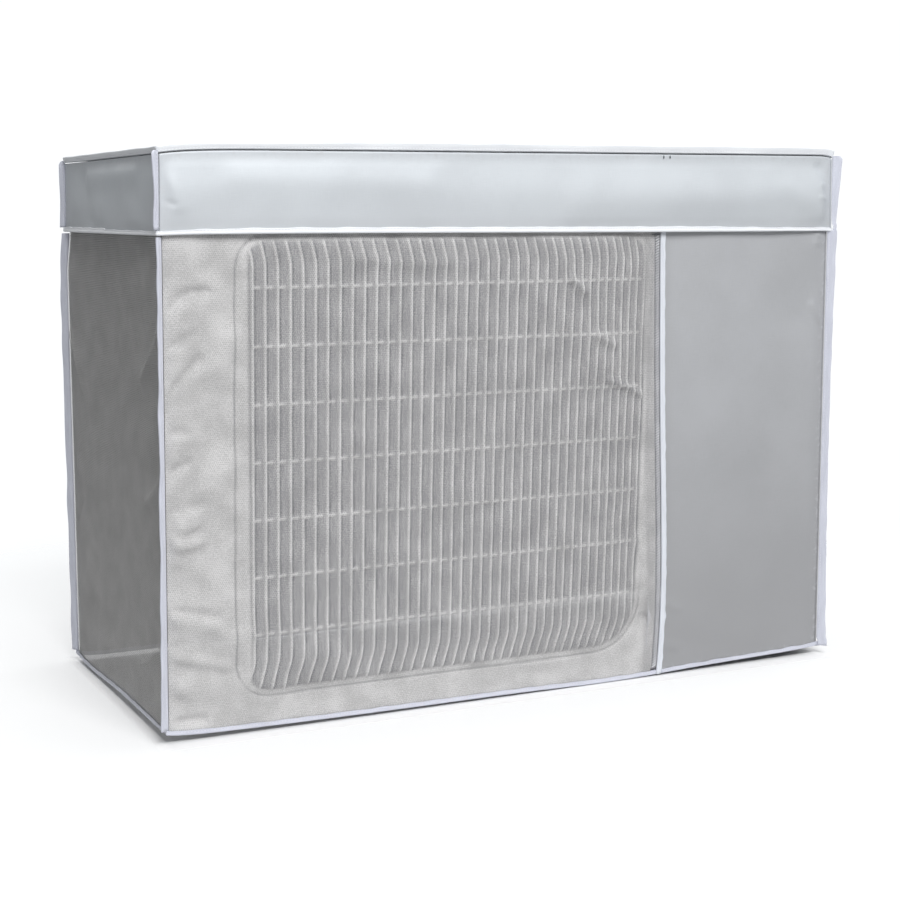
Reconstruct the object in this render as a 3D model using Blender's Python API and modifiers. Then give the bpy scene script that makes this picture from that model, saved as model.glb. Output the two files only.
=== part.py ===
"""A fitted cloth cover for an outdoor unit, hollow and open below.

A flat top and a short skirt of silver cloth, the band, hang over a five-panel body. The body has net at
the front and left, silver cloth elsewhere, and a zip down the net's right edge. Every seam and edge is
bound with white tape. Metres, +Z up. The origin is the middle of the top cloth's underside, the front
faces -Y and the width runs along X.
"""

from collections import namedtuple
from math import cos, exp, hypot, pi, radians, sin, sqrt

import bmesh
import bpy
from mathutils import Vector

# Driving dimensions
WIDTH = 0.830  # over the band's cloth at the top seam
DEPTH = 0.390
HEIGHT = 0.596  # from the top cloth's underside to the hem at the corners
BAND_DROP = 0.082
ZIP_X = 0.1785  # middle of the tape beside the zip, at the top

# Cloth, tape and clearances
CLOTH = 0.0015
TAPE = 0.0008  # one layer of tape
TAPE_FOLD = 0.006  # how far a folded tape covers an edge
FIN_THICK = 0.003  # a bound seam: two cloth edges with tape folded round them
GAP = 0.0003  # between pieces that are sewn together
LAYER_GAP = 0.0012  # from the band's cloth to the body's, at the top seam
SEAM_GAP = 0.0006  # from a corner of the cloth to the bound seam on it
TOP_GAP = 0.0007  # from the side panels up to the top panel, whose rim is raised

# The zip, seen from the front
ZIP_TAPE_WIDTH = 0.0065  # the white tape along the silver panel's edge
TEETH_WIDTH = 0.0076
TEETH_THICK = 0.0024
ZIP_TOP = 0.062  # the teeth and the tape start this far below the top, behind the band
TEETH_PROUD = 0.0005
ZIP_CLOTH_WIDTH = 0.016  # the woven strip behind the teeth

# How the cover hangs
HEM_SPREAD_X = 0.0052  # each side stands this much further out at the hem than at the top
HEM_SPREAD_Y = -0.0055
HEM_DROOP = 0.0022  # the hem hangs this much lower between the corners, more at the left than at the right
HEM_DROOP_LEAN = 0.38
HEM_DROOP_RUN = 0.016
LONG_DROOP = 0.0060  # along the front the hem sags further towards the middle
LONG_DROOP_BACK = 0.0040
LONG_DROOP_POWER = 0.6
ZIP_LEAN = 0.0045  # the zip leans to the right on its way down
ZIP_BOW = 0.0060
ZIP_SWAY_REACH = 0.110
CORNER_PUSH = 0.0035  # below the band the body's back left corner stands out by this much along X and Y
CORNER_PUSH_REACH = 0.120
CORNER_PUSH_RUN = 0.050
BAND_FLARE = 0.0018  # the band's lower edge stands off the body, in long shallow waves
BAND_SWING = 0.0005
BAND_WAVE_X = 23.0  # radians a metre along the front and back
BAND_WAVE_Y = 31.0

# The seam round the top stands over the unit's flat top, most of all between the corners of the front and back
RIM_RIGHT = 0.0038
RIM_FRONT = 0.0046
RIM_FRONT_FALL = 0.0011  # from its left to its right
RIM_BACK_SHARE = 0.8
RIM_REACH = 0.060  # how far in from the edge and down from it
RIM_LEFT_RUN = 0.030
RIM_RIGHT_RUN = 0.014

# The net is pressed to the round-cornered guard behind it
GUARD_MIDDLE = (-0.090, -0.324)  # X and Z
GUARD_HALF = (0.246, 0.241)
GUARD_CORNER = 0.034
GUARD_RISE = 0.0030
GUARD_SLOPE = 0.016
EDGE_FADE = 0.030  # folds die out towards a sewn edge

# The bound top seam
TOP_FIN_LENGTH = 0.0085
TOP_FIN_TILT = radians(28)
TOP_FIN_CORNER = 0.80  # how much of the full mitre the corner of the fin keeps

# How finely the pieces are divided
NET_STEP = 0.025
BAND_STEP = 0.026
ZIP_STEP = 0.030
EDGE_STEP = 0.048
PLAIN_STEP = 0.065
CORNER_RUNS = (0.0, 0.008, 0.018, 0.032, 0.050)  # closer together where the hem turns up at a corner
END_CLEAR = 0.004  # no station comes closer than this to the end of a piece
MERGE = 0.00001

Face = namedtuple("Face", "along outward half")
FACES = {
    "front": Face(Vector((1, 0, 0)), Vector((0, -1, 0)), DEPTH / 2),
    "back": Face(Vector((1, 0, 0)), Vector((0, 1, 0)), DEPTH / 2),
    "left": Face(Vector((0, 1, 0)), Vector((-1, 0, 0)), WIDTH / 2),
    "right": Face(Vector((0, 1, 0)), Vector((1, 0, 0)), WIDTH / 2),
}

# A place where the hem hangs lower still, as X and Y
Sag = namedtuple("Sag", "x y reach height")
SAGS = (
    Sag(0.120, -DEPTH / 2, 0.090, 0.0028),
    Sag(-WIDTH / 2, 0.130, 0.090, 0.0042),
    Sag(-0.150, DEPTH / 2, 0.120, 0.0025),
    Sag(WIDTH / 2, -0.020, 0.100, 0.0020),
)

# A soft fold runs between two points of a face. Places along the face and heights are from the middle of the
# top, and a positive height stands outward.
Fold = namedtuple("Fold", "start_s start_z end_s end_z width height")
NET_FRONT_FOLDS = (
    Fold(-0.413, -0.410, -0.350, -0.325, 0.016, 0.0050),
    Fold(-0.413, -0.300, -0.345, -0.190, 0.018, 0.0040),
    Fold(-0.412, -0.225, -0.340, -0.110, 0.016, 0.0035),
    Fold(-0.410, -0.480, -0.330, -0.500, 0.015, 0.0040),
    Fold(-0.400, -0.545, -0.290, -0.560, 0.014, 0.0035),
    Fold(-0.375, -0.440, -0.355, -0.250, 0.022, -0.0035),
    Fold(-0.300, -0.500, -0.220, -0.545, 0.020, 0.0025),
    Fold(0.040, -0.120, 0.090, -0.230, 0.026, 0.0022),
    Fold(0.100, -0.200, 0.155, -0.300, 0.024, 0.0020),
    Fold(0.120, -0.420, 0.160, -0.560, 0.024, -0.0020),
)
NET_LEFT_FOLDS = (
    Fold(-0.150, -0.150, -0.150, -0.520, 0.040, 0.0025),
    Fold(0.020, -0.130, 0.000, -0.560, 0.050, -0.0025),
    Fold(0.120, -0.480, 0.170, -0.570, 0.022, 0.0030),
    Fold(-0.120, -0.540, 0.080, -0.565, 0.022, 0.0025),
)
FRONT_RIGHT_FOLDS = (
    Fold(0.250, -0.120, 0.245, -0.520, 0.040, 0.0015),
    Fold(0.330, -0.200, 0.345, -0.560, 0.045, -0.0018),
    Fold(0.215, -0.545, 0.310, -0.575, 0.020, 0.0025),
)
RIGHT_FOLDS = (
    Fold(-0.080, -0.140, -0.060, -0.520, 0.045, 0.0025),
    Fold(0.070, -0.200, 0.090, -0.560, 0.040, -0.0020),
    Fold(-0.130, -0.560, 0.110, -0.540, 0.024, 0.0025),
)
BACK_FOLDS = (
    Fold(-0.240, -0.140, -0.270, -0.540, 0.055, 0.0030),
    Fold(-0.060, -0.120, -0.040, -0.560, 0.060, -0.0025),
    Fold(0.150, -0.160, 0.200, -0.540, 0.055, 0.0030),
    Fold(-0.300, -0.555, 0.280, -0.565, 0.026, 0.0020),
)
BAND_FRONT_FOLDS = (
    Fold(-0.330, -0.022, -0.120, -0.026, 0.016, 0.0014),
    Fold(0.060, -0.055, 0.300, -0.045, 0.018, 0.0012),
    Fold(0.350, -0.030, 0.395, -0.060, 0.014, 0.0014),
)
BAND_BACK_FOLDS = (
    Fold(-0.280, -0.040, 0.000, -0.030, 0.018, 0.0014),
    Fold(0.150, -0.050, 0.330, -0.040, 0.018, 0.0012),
)
BAND_SIDE_FOLDS = (
    Fold(-0.110, -0.016, 0.080, -0.020, 0.014, 0.0022),
    Fold(0.020, -0.055, 0.150, -0.050, 0.018, 0.0012),
)

# A bound corner seam, with how far the tape stands out at the top, middle and bottom of the band and of the body.
# Where it runs over the tape of the lower edges it covers their corners, and elsewhere it stops above them.
Corner = namedtuple("Corner", "name side_x side_y band body over")
CORNERS = (
    Corner("front_left", -1, -1, (0.0100, 0.0082, 0.0065), (0.0075, 0.0085, 0.0120), False),
    Corner("front_right", 1, -1, (0.0130, 0.0098, 0.0060), (0.0118, 0.0085, 0.0115), True),
    Corner("back_right", 1, 1, (0.0100, 0.0088, 0.0075), (0.0090, 0.0085, 0.0080), True),
    Corner("back_left", -1, 1, (0.0075, 0.0070, 0.0065), (0.0095, 0.0090, 0.0085), False),
)

# Places worked out from the sizes above, outward from the band's outer face at the top seam
BAND_OUT = -CLOTH / 2
BODY_FACE = -(CLOTH + LAYER_GAP)
BODY_OUT = BODY_FACE - CLOTH / 2
TAPE_OUT = CLOTH / 2 + GAP + TAPE / 2  # from the middle of the cloth to the middle of a layer of tape
BAND_EDGE = -(BAND_DROP - TAPE - GAP)
BODY_EDGE = -(HEIGHT - TAPE - GAP)
OVER_TAPE = sqrt(2) * (TAPE_OUT + TAPE / 2 - CLOTH / 2) + GAP  # a corner seam clears the tape's corner
ZIP_TAPE_LEFT = ZIP_X - ZIP_TAPE_WIDTH / 2
TEETH_RIGHT = ZIP_TAPE_LEFT - GAP
TEETH_LEFT = TEETH_RIGHT - TEETH_WIDTH
NET_RIGHT = TEETH_LEFT - GAP
ZIP_OVERLAP = ZIP_CLOTH_WIDTH - TEETH_WIDTH + END_CLEAR  # the net lies flat over the woven strip


def clear_scene():
    """Removes what a new file holds, such as its cube, camera and light."""
    for old in list(bpy.data.objects):
        bpy.data.objects.remove(old, do_unlink=True)


def new_material(name, colour, roughness, metallic=0.0):
    """A Principled BSDF material of one colour."""
    material = bpy.data.materials.new(name)
    material.use_nodes = True
    shader = material.node_tree.nodes["Principled BSDF"]
    shader.inputs["Base Color"].default_value = (*colour, 1.0)
    shader.inputs["Roughness"].default_value = roughness
    shader.inputs["Metallic"].default_value = metallic
    material.diffuse_color = (*colour, 1.0)
    return material


def smooth(value):
    """Rises softly from 0 at 0 to 1 at 1, and stays flat beyond."""
    value = min(max(value, 0.0), 1.0)
    return value * value * (3 - 2 * value)


def relief(folds, s, z):
    """The height of a face's soft folds: each falls off with the distance from the line it runs along."""
    height = 0.0
    for fold in folds:
        run_s = fold.end_s - fold.start_s
        run_z = fold.end_z - fold.start_z
        part = ((s - fold.start_s) * run_s + (z - fold.start_z) * run_z) / (run_s**2 + run_z**2)
        part = min(max(part, 0.0), 1.0)
        away = hypot(s - fold.start_s - part * run_s, z - fold.start_z - part * run_z)
        height += fold.height * bell(away, fold.width)
    return height


def guard_rise(s, z):
    """The low round-cornered plateau where the net is pressed to the guard behind it."""
    beyond_s = abs(s - GUARD_MIDDLE[0]) - GUARD_HALF[0] + GUARD_CORNER
    beyond_z = abs(z - GUARD_MIDDLE[1]) - GUARD_HALF[1] + GUARD_CORNER
    outside = hypot(max(beyond_s, 0.0), max(beyond_z, 0.0))
    outside += min(max(beyond_s, beyond_z), 0.0) - GUARD_CORNER
    return GUARD_RISE * smooth(-outside / GUARD_SLOPE)


def bell(distance, width):
    """A soft bump, 1 at no distance."""
    return exp(-((distance / width) ** 2))


def rim_rise(x, y):
    """How far the top's edge stands over the flat top, at a place of the top or of a side."""
    from_left = max(WIDTH / 2 + x, 0.0)
    from_right = max(WIDTH / 2 - x, 0.0)
    from_front = max(DEPTH / 2 + y, 0.0)
    from_back = max(DEPTH / 2 - y, 0.0)
    part = min(from_left / WIDTH, 1.0)
    ends = (1 - exp(-from_left / RIM_LEFT_RUN)) * (1 - exp(-from_right / RIM_RIGHT_RUN))
    faces = bell(from_front, RIM_REACH) + RIM_BACK_SHARE * bell(from_back, RIM_REACH)
    rise = RIM_RIGHT * part * bell(min(from_left, from_right, from_front, from_back), RIM_REACH)
    return rise + (RIM_FRONT - RIM_FRONT_FALL * part) * ends * faces


def hem_droop(x, y):
    """How far the hem hangs below its corners, at a place of the outline."""
    across = min(max(x / WIDTH + 0.5, 0.0), 1.0)
    from_corner = max(WIDTH / 2 - abs(x), 0.0) + max(DEPTH / 2 - abs(y), 0.0)
    droop = HEM_DROOP * (1 - HEM_DROOP_LEAN * (2 * across - 1)) * (1 - exp(-from_corner / HEM_DROOP_RUN))
    long_sides = LONG_DROOP * bell(y + DEPTH / 2, RIM_REACH) + LONG_DROOP_BACK * bell(y - DEPTH / 2, RIM_REACH)
    droop += long_sides * max(sin(pi * across), 0.0) ** LONG_DROOP_POWER
    return droop + sum(sag.height * bell(hypot(x - sag.x, y - sag.y), sag.reach) for sag in SAGS)


def hang(point):
    """Where a point of the straight-sided pattern lies once the cover hangs."""
    x, y, z = point
    down = min(max(-z / HEIGHT, 0.0), 1.0)
    to_front = min(max(0.5 - y / DEPTH, 0.0), 1.0)
    near_zip = to_front * bell(x - ZIP_X, ZIP_SWAY_REACH)
    sway = near_zip * (ZIP_LEAN * down + ZIP_BOW * sin(pi * down**3))
    push = CORNER_PUSH * smooth((-z - BAND_DROP) / CORNER_PUSH_RUN) * (1 - down / 2)
    push *= bell(hypot(x + WIDTH / 2, y - DEPTH / 2), CORNER_PUSH_REACH)
    return Vector((
        x * (1 + HEM_SPREAD_X * down / (WIDTH / 2)) + sway - push,
        y * (1 + HEM_SPREAD_Y * down / (DEPTH / 2)) + push,
        z - hem_droop(x, y) * down**3 + rim_rise(x, y) * exp(z / RIM_REACH),
    ))


def hang_band(point):
    """As hang, for the band, whose lower edge also stands off the body in long shallow waves."""
    x, y, z = point
    down = min(max(-z / BAND_DROP, 0.0), 1.0)
    flare = BAND_FLARE - BAND_SWING * sin(x * BAND_WAVE_X) * cos(y * BAND_WAVE_Y)
    flare *= down**2
    return hang(Vector((x * (1 + flare / (WIDTH / 2)), y * (1 + flare / (DEPTH / 2)), z)))


def face_point(face, s, out, z):
    """A point on one of the four sides, s along it and out from the band's outer face."""
    return face.along * s + face.outward * (face.half + out) + Vector((0, 0, z))


def steps_for(length, step):
    """How many equal steps of about this size cover a length."""
    return max(1, round(length / step))


def side_places(length, step):
    """Places along a side of the outline, which its panels and its tape share."""
    inner = length / 2 - CORNER_RUNS[-1]
    pieces = steps_for(2 * inner, step)
    middle = [2 * inner * part / pieces - inner for part in range(1, pieces)]
    near = [length / 2 - run for run in CORNER_RUNS]
    return [-place for place in near] + middle + near[::-1]


def cut_between(places, low, high):
    """The places that lie between two ends, and the ends themselves."""
    return [low] + [place for place in places if low + END_CLEAR < place < high - END_CLEAR] + [high]


def bound_heights(low, high, step):
    """Heights up a panel from its lower edge: one where the tape stops, then equal steps."""
    rim = low + TAPE_FOLD
    pieces = steps_for(high - rim, step)
    return [low] + [rim + (high - rim) * part / pieces for part in range(pieces + 1)]


def cloth_grid(name, columns, rows, place, thickness, material, ring=False, mitred=False):
    """An open grid of cloth, laid out by place(column, row), with its ends sewn where it is a ring.

    A mitred piece keeps an even thickness where the folds of a tape turn a corner.
    """
    bpy.ops.mesh.primitive_grid_add(x_subdivisions=columns, y_subdivisions=rows, size=1)
    piece = bpy.context.object
    piece.name = name
    piece.data.name = name
    for vertex in piece.data.vertices:
        column = round((vertex.co.x + 0.5) * columns)
        row = round((vertex.co.y + 0.5) * rows)
        vertex.co = place(column, row)
    if ring:
        shape = bmesh.new()
        shape.from_mesh(piece.data)
        bmesh.ops.remove_doubles(shape, verts=shape.verts, dist=MERGE)
        shape.to_mesh(piece.data)
        shape.free()
    solid = piece.modifiers.new("Thickness", "SOLIDIFY")
    solid.thickness = thickness
    solid.offset = 0.0
    solid.use_even_offset = True
    if mitred:
        solid.solidify_mode = "NON_MANIFOLD"
        solid.nonmanifold_thickness_mode = "CONSTRAINTS"
        solid.nonmanifold_merge_threshold = MERGE
    piece.data.materials.append(material)
    piece.data.shade_smooth()
    return piece


def side_panel(name, side, places, heights, out, folds, settle, material, press=None):
    """One panel of the sides: a flat cut with soft folds, placed by the height at which they hang.

    The folds die out at its sewn edges.
    """
    face = FACES[side]

    def place(column, row):
        s = places[column]
        z = heights[row]
        fade = smooth((s - places[1]) / EDGE_FADE) * smooth((places[-2] - s) / EDGE_FADE)
        fade *= smooth((z - heights[1]) / EDGE_FADE) * smooth((heights[-1] - z) / EDGE_FADE)
        hung = settle(face_point(face, s, out, z)).z
        height = fade * relief(folds, s, hung)
        if press:
            height += press(s, hung)
        return settle(face_point(face, s, out + height, z))

    return cloth_grid(name, len(places) - 1, len(heights) - 1, place, CLOTH, material)


def make_top(cloth):
    """The top panel, flat but for its rim. The underside of its middle is at height 0."""
    across = side_places(WIDTH, EDGE_STEP)
    deep = side_places(DEPTH, EDGE_STEP)

    def place(column, row):
        x, y = across[column], deep[row]
        return Vector((x, y, CLOTH / 2 + rim_rise(x, y)))

    cloth_grid("top_panel", len(across) - 1, len(deep) - 1, place, CLOTH, cloth)


def make_band(cloth):
    """The band's four panels. The left and right ones cover the ends of the other two."""
    between = WIDTH / 2 - CLOTH - GAP
    across = cut_between(side_places(WIDTH, EDGE_STEP), -between, between)
    deep = side_places(DEPTH, EDGE_STEP)
    heights = bound_heights(BAND_EDGE, -TOP_GAP, BAND_STEP)
    side_panel("band_front", "front", across, heights, BAND_OUT, BAND_FRONT_FOLDS, hang_band, cloth)
    side_panel("band_back", "back", across, heights, BAND_OUT, BAND_BACK_FOLDS, hang_band, cloth)
    for side in ("left", "right"):
        side_panel("band_" + side, side, deep, heights, BAND_OUT, BAND_SIDE_FOLDS, hang_band, cloth)


def make_body(cloth, net):
    """The body's five panels, which run up inside the band to the top seam."""
    between = WIDTH / 2 + BODY_FACE - CLOTH - GAP
    half_deep = DEPTH / 2 + BODY_FACE
    silver_left = ZIP_TAPE_LEFT + TAPE + GAP
    front = side_places(WIDTH, NET_STEP)
    back = side_places(WIDTH, EDGE_STEP)
    deep = cut_between(side_places(DEPTH, EDGE_STEP), -half_deep, half_deep)
    fine = bound_heights(BODY_EDGE, -TOP_GAP, NET_STEP)
    even = bound_heights(BODY_EDGE, -TOP_GAP, ZIP_STEP)
    plain = bound_heights(BODY_EDGE, -TOP_GAP, PLAIN_STEP)

    net_front = cut_between(front, -between, NET_RIGHT - ZIP_OVERLAP) + [NET_RIGHT]
    side_panel("net_front", "front", net_front, fine, BODY_OUT, NET_FRONT_FOLDS, hang, net, guard_rise)
    side_panel("net_left", "left", deep, fine, BODY_OUT, NET_LEFT_FOLDS, hang, net)
    silver_front = [silver_left] + cut_between(front, silver_left + ZIP_TAPE_WIDTH, between)
    side_panel("panel_front_right", "front", silver_front, even, BODY_OUT, FRONT_RIGHT_FOLDS, hang, cloth)
    side_panel("panel_right", "right", deep, plain, BODY_OUT, RIGHT_FOLDS, hang, cloth)
    across = cut_between(back, -between, between)
    side_panel("panel_back", "back", across, fine, BODY_OUT, BACK_FOLDS, hang, cloth)


def ring_stations(front_step):
    """Stations round the four sides, counter-clockwise from the front right corner.

    Each is a point of the band's outer outline as X and Y, and the way outward there, longer at a corner so
    that pieces on both sides of it meet in a mitre.
    """
    stations = []
    steps = {"right": EDGE_STEP, "back": EDGE_STEP, "left": EDGE_STEP, "front": front_step}
    for side, step in steps.items():
        face = FACES[side]
        length = DEPTH if side in ("left", "right") else WIDTH
        order = 1 if side in ("right", "front") else -1
        places = [order * place for place in side_places(length, step)]
        outward = face.outward.xy
        corner = outward + (face.along * places[0]).normalized().xy
        stations.append(((outward * face.half + face.along.xy * places[0]), corner))
        stations.extend((outward * face.half + face.along.xy * place, outward) for place in places[1:-1])
    return stations


def folded_tape_section(depth):
    """Tape folded under an edge, from its outer rim down, across and up inside.

    Each point is a distance out from the middle of the cloth and a height over the fold's lowest face.
    """
    return ((TAPE_OUT, depth), (TAPE_OUT, TAPE / 2), (-TAPE_OUT, TAPE / 2), (-TAPE_OUT, depth))


def make_band_tape(tape):
    """The tape folded round the band's lower edge, in one ring."""
    stations = ring_stations(EDGE_STEP)
    section = folded_tape_section(TAPE_FOLD)

    def place(column, row):
        spot, outward = stations[column % len(stations)]
        out, height = section[row]
        x, y = spot + outward * (BAND_OUT + out)
        return hang_band(Vector((x, y, height - BAND_DROP)))

    cloth_grid("tape_band", len(stations), len(section) - 1, place, TAPE, tape, ring=True, mitred=True)


def make_hem_tape(tape):
    """The tape folded round the hem, open where the zip ends."""
    to_front = FACES["front"].outward.xy
    front_edge = to_front * DEPTH / 2
    stations = ring_stations(NET_STEP)
    right_end = ZIP_X + ZIP_TAPE_WIDTH / 2 + GAP
    starts = [index for index, (spot, outward) in enumerate(stations) if outward == to_front]
    right_of_zip = [stations[index] for index in starts if stations[index][0].x > right_end + END_CLEAR]
    left_of_zip = [stations[index] for index in starts if stations[index][0].x < NET_RIGHT - END_CLEAR]
    first = (Vector((right_end, front_edge.y)), to_front)
    last = (Vector((NET_RIGHT, front_edge.y)), to_front)
    stations = [first, *right_of_zip, *stations[: starts[0]], *left_of_zip, last]
    section = folded_tape_section(TAPE_FOLD)

    def place(column, row):
        spot, outward = stations[column]
        out, height = section[row]
        x, y = spot + outward * (BODY_OUT + out)
        return hang(Vector((x, y, height - HEIGHT)))

    cloth_grid("tape_hem", len(stations) - 1, len(section) - 1, place, TAPE, tape, mitred=True)


def make_top_seam(tape):
    """The bound top seam, one ring that stands outward and a little up from the edge of the top."""
    stations = ring_stations(EDGE_STEP)

    def place(column, row):
        spot, outward = stations[column % len(stations)]
        reach = GAP + row * TOP_FIN_LENGTH
        if row and outward.length > 1:
            outward = outward * TOP_FIN_CORNER
        x, y = spot + outward * reach * cos(TOP_FIN_TILT)
        return Vector((x, y, CLOTH + reach * sin(TOP_FIN_TILT) + rim_rise(*spot)))

    cloth_grid("seam_top", len(stations), 1, place, FIN_THICK, tape, ring=True)


def corner_seam(name, corner, half, levels, roots, reach, settle, tape):
    """A bound corner seam: a strip that stands out diagonally, with a row of points at each level."""
    rows = len(levels) - 1
    diagonal = Vector((corner.side_x, corner.side_y)) / sqrt(2)
    edge = Vector((corner.side_x * half[0], corner.side_y * half[1]))

    def place(column, row):
        down = (levels[0] - levels[row]) / (levels[0] - levels[-1])
        length = reach[0] * (1 - down) * (1 - 2 * down) + 4 * reach[1] * down * (1 - down) + reach[2] * down * (2 * down - 1)
        x, y = edge + diagonal * (roots[row] + column * length)
        return settle(Vector((x, y, levels[row])))

    cloth_grid(name, 1, rows, place, FIN_THICK, tape)


def seam_levels(top, bottom, step, over):
    """Heights down a corner seam and how far its root stands off the corner at each.

    A seam that runs over the tape of the lower edge steps outward before it, and another ends above it.
    """
    fold_top = bottom + TAPE_FOLD
    turn = fold_top + TAPE_FOLD if over else fold_top + GAP
    pieces = steps_for(top - turn, step)
    levels = [top + (turn - top) * part / pieces for part in range(pieces + 1)]
    roots = [SEAM_GAP] * len(levels)
    if over:
        levels += [fold_top + 2 * GAP, bottom]
        roots += [OVER_TAPE, OVER_TAPE]
    return levels, roots


def make_corner_seams(tape):
    """The bound corner seams: a short one on the band and a long one on the body, at each corner."""
    band_half = (WIDTH / 2, DEPTH / 2)
    body_half = (WIDTH / 2 + BODY_FACE, DEPTH / 2 + BODY_FACE)
    for corner in CORNERS:
        levels, roots = seam_levels(-FIN_THICK / 2 - TOP_GAP, -BAND_DROP, BAND_STEP, corner.over)
        name = "seam_band_" + corner.name
        corner_seam(name, corner, band_half, levels, roots, corner.band, hang_band, tape)
        levels, roots = seam_levels(-BAND_DROP - TAPE, -HEIGHT, NET_STEP, corner.over)
        name = "seam_body_" + corner.name
        corner_seam(name, corner, body_half, levels, roots, corner.body, hang, tape)


def upright_strip(name, section, z_range, thickness, material):
    """A strip down the front beside the zip, with its section as places along the front and outward."""
    face = FACES["front"]
    z_low, z_high = z_range
    rows = steps_for(z_high - z_low, ZIP_STEP)

    def place(column, row):
        s, out = section[column]
        z = z_low + (z_high - z_low) * row / rows
        return hang(face_point(face, s, out, z))

    return cloth_grid(name, len(section) - 1, rows, place, thickness, material)


def make_zip(tape, woven, teeth):
    """The tape on the silver panel's edge, the woven strip behind the opening and the row of teeth."""
    right = ZIP_X + ZIP_TAPE_WIDTH / 2 - TAPE / 2
    fold = ZIP_TAPE_LEFT + TAPE / 2
    section = (
        (right, BODY_OUT + TAPE_OUT),
        (fold, BODY_OUT + TAPE_OUT),
        (fold, BODY_OUT - TAPE_OUT),
        (right, BODY_OUT - TAPE_OUT),
    )
    upright_strip("tape_zip", section, (-HEIGHT, -ZIP_TOP), TAPE, tape)

    woven_out = BODY_OUT - TAPE_OUT
    section = ((TEETH_RIGHT - ZIP_CLOTH_WIDTH, woven_out), (TEETH_RIGHT, woven_out))
    upright_strip("zip_strip", section, (TAPE_FOLD + GAP - HEIGHT, -TOP_GAP), TAPE, woven)

    section = ((TEETH_LEFT, BODY_OUT + TEETH_PROUD), (TEETH_RIGHT, BODY_OUT + TEETH_PROUD))
    row = upright_strip("zip_teeth", section, (TAPE - HEIGHT, -ZIP_TOP), TEETH_THICK, teeth)
    rounding = row.modifiers.new("Rounding", "BEVEL")
    rounding.width = TEETH_THICK / 4
    rounding.segments = 1
    rounding.limit_method = "ANGLE"


def main():
    """Builds the cover in a collection of its own."""
    clear_scene()
    group = bpy.data.collections.new("air_conditioner_cover")
    bpy.context.scene.collection.children.link(group)
    layer = bpy.context.view_layer.layer_collection.children[group.name]
    bpy.context.view_layer.active_layer_collection = layer

    silver = new_material("silver_cloth", (0.60, 0.61, 0.63), 0.45, 0.35)
    net = new_material("white_net", (0.74, 0.74, 0.72), 0.80)
    tape = new_material("white_tape", (0.82, 0.82, 0.92), 0.60)
    woven = new_material("zip_strip_cloth", (0.78, 0.78, 0.80), 0.75)
    teeth = new_material("zip_teeth_nylon", (0.70, 0.70, 0.74), 0.40)

    make_top(silver)
    make_band(silver)
    make_body(silver, net)
    make_top_seam(tape)
    make_corner_seams(tape)
    make_band_tape(tape)
    make_hem_tape(tape)
    make_zip(tape, woven, teeth)


main()
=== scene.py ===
import logging
from collections.abc import Callable, Sequence
from dataclasses import dataclass, replace
from enum import Enum
from functools import cache

import bpy
import numpy as np
from mathutils import Matrix, Vector


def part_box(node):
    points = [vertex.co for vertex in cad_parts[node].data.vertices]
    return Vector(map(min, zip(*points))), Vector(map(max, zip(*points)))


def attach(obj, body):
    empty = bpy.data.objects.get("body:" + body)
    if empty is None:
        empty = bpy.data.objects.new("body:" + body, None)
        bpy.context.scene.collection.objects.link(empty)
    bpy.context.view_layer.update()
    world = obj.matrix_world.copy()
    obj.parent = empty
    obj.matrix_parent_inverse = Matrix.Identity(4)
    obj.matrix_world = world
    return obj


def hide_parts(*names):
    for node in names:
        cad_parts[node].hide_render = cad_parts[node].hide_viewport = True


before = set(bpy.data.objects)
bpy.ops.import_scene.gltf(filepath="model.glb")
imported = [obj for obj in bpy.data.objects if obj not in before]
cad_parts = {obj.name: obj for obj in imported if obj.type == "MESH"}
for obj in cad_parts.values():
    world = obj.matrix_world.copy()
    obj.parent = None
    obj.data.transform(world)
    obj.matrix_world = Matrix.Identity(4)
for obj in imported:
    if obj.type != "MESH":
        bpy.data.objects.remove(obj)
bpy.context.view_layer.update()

# The looks of a fitted cloth cover: a silver band over a body of white net and silver cloth, with a zip,
# every seam and edge bound in white tape. Metres, +Z up, the front faces -Y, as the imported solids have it.

Array = np.ndarray
LOG = logging.getLogger("cover")
UV_NAME = "Cut"
EDGE_NAME = "from_edge"
DRAWN_NAME = "drawn"
TURN = 2 * np.pi


def smooth(value: Array) -> Array:
    """Rises softly from 0 at 0 to 1 at 1 as t*t*(3 - 2t), and stays flat beyond."""
    value = np.clip(value, 0.0, 1.0)
    return value * value * (3 - 2 * value)


def bell(distance: Array, width: float) -> Array:
    """A soft bump, exp(-(distance/width)^2)."""
    return np.exp(-((distance / width) ** 2))


def wander(places: Array, pace: float, seed: int, waves: int = 5) -> Array:
    """A smooth uneven wave, the sum of a few sines whose lengths are drawn round one pace.

    Args:
        places: Where the wave is read, in metres along a line.
        pace: The middle of the sines' lengths, in metres.
        seed: Fixes the draw.
        waves: How many sines are summed.

    Returns:
        Heights mostly between -1 and 1, shaped as places.
    """
    rng = np.random.default_rng(seed)
    lengths = pace * rng.uniform(0.6, 1.8, waves)
    starts = rng.uniform(0, TURN, waves)
    return np.sin(TURN * np.asarray(places)[..., None] / lengths + starts).sum(-1) / np.sqrt(waves)


def crumple(along: Array, up: Array, size: float, seed: int, waves: int = 16) -> Array:
    """Uneven ripples over a surface: plane sines of many directions, summed.

    Args:
        along: Places along the surface, in metres.
        up: Places up the surface, in metres.
        size: The middle of the ripples' lengths, in metres.
        seed: Fixes the draw.
        waves: How many sines are summed.

    Returns:
        Heights mostly between -1 and 1.
    """
    rng = np.random.default_rng(seed)
    turn = rng.uniform(0, np.pi, waves)
    lengths = size * rng.uniform(0.7, 1.9, waves)
    starts = rng.uniform(0, TURN, waves)
    across = along[..., None] * np.cos(turn) + up[..., None] * np.sin(turn)
    return np.sin(TURN * across / lengths + starts).sum(-1) / np.sqrt(waves)


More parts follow.
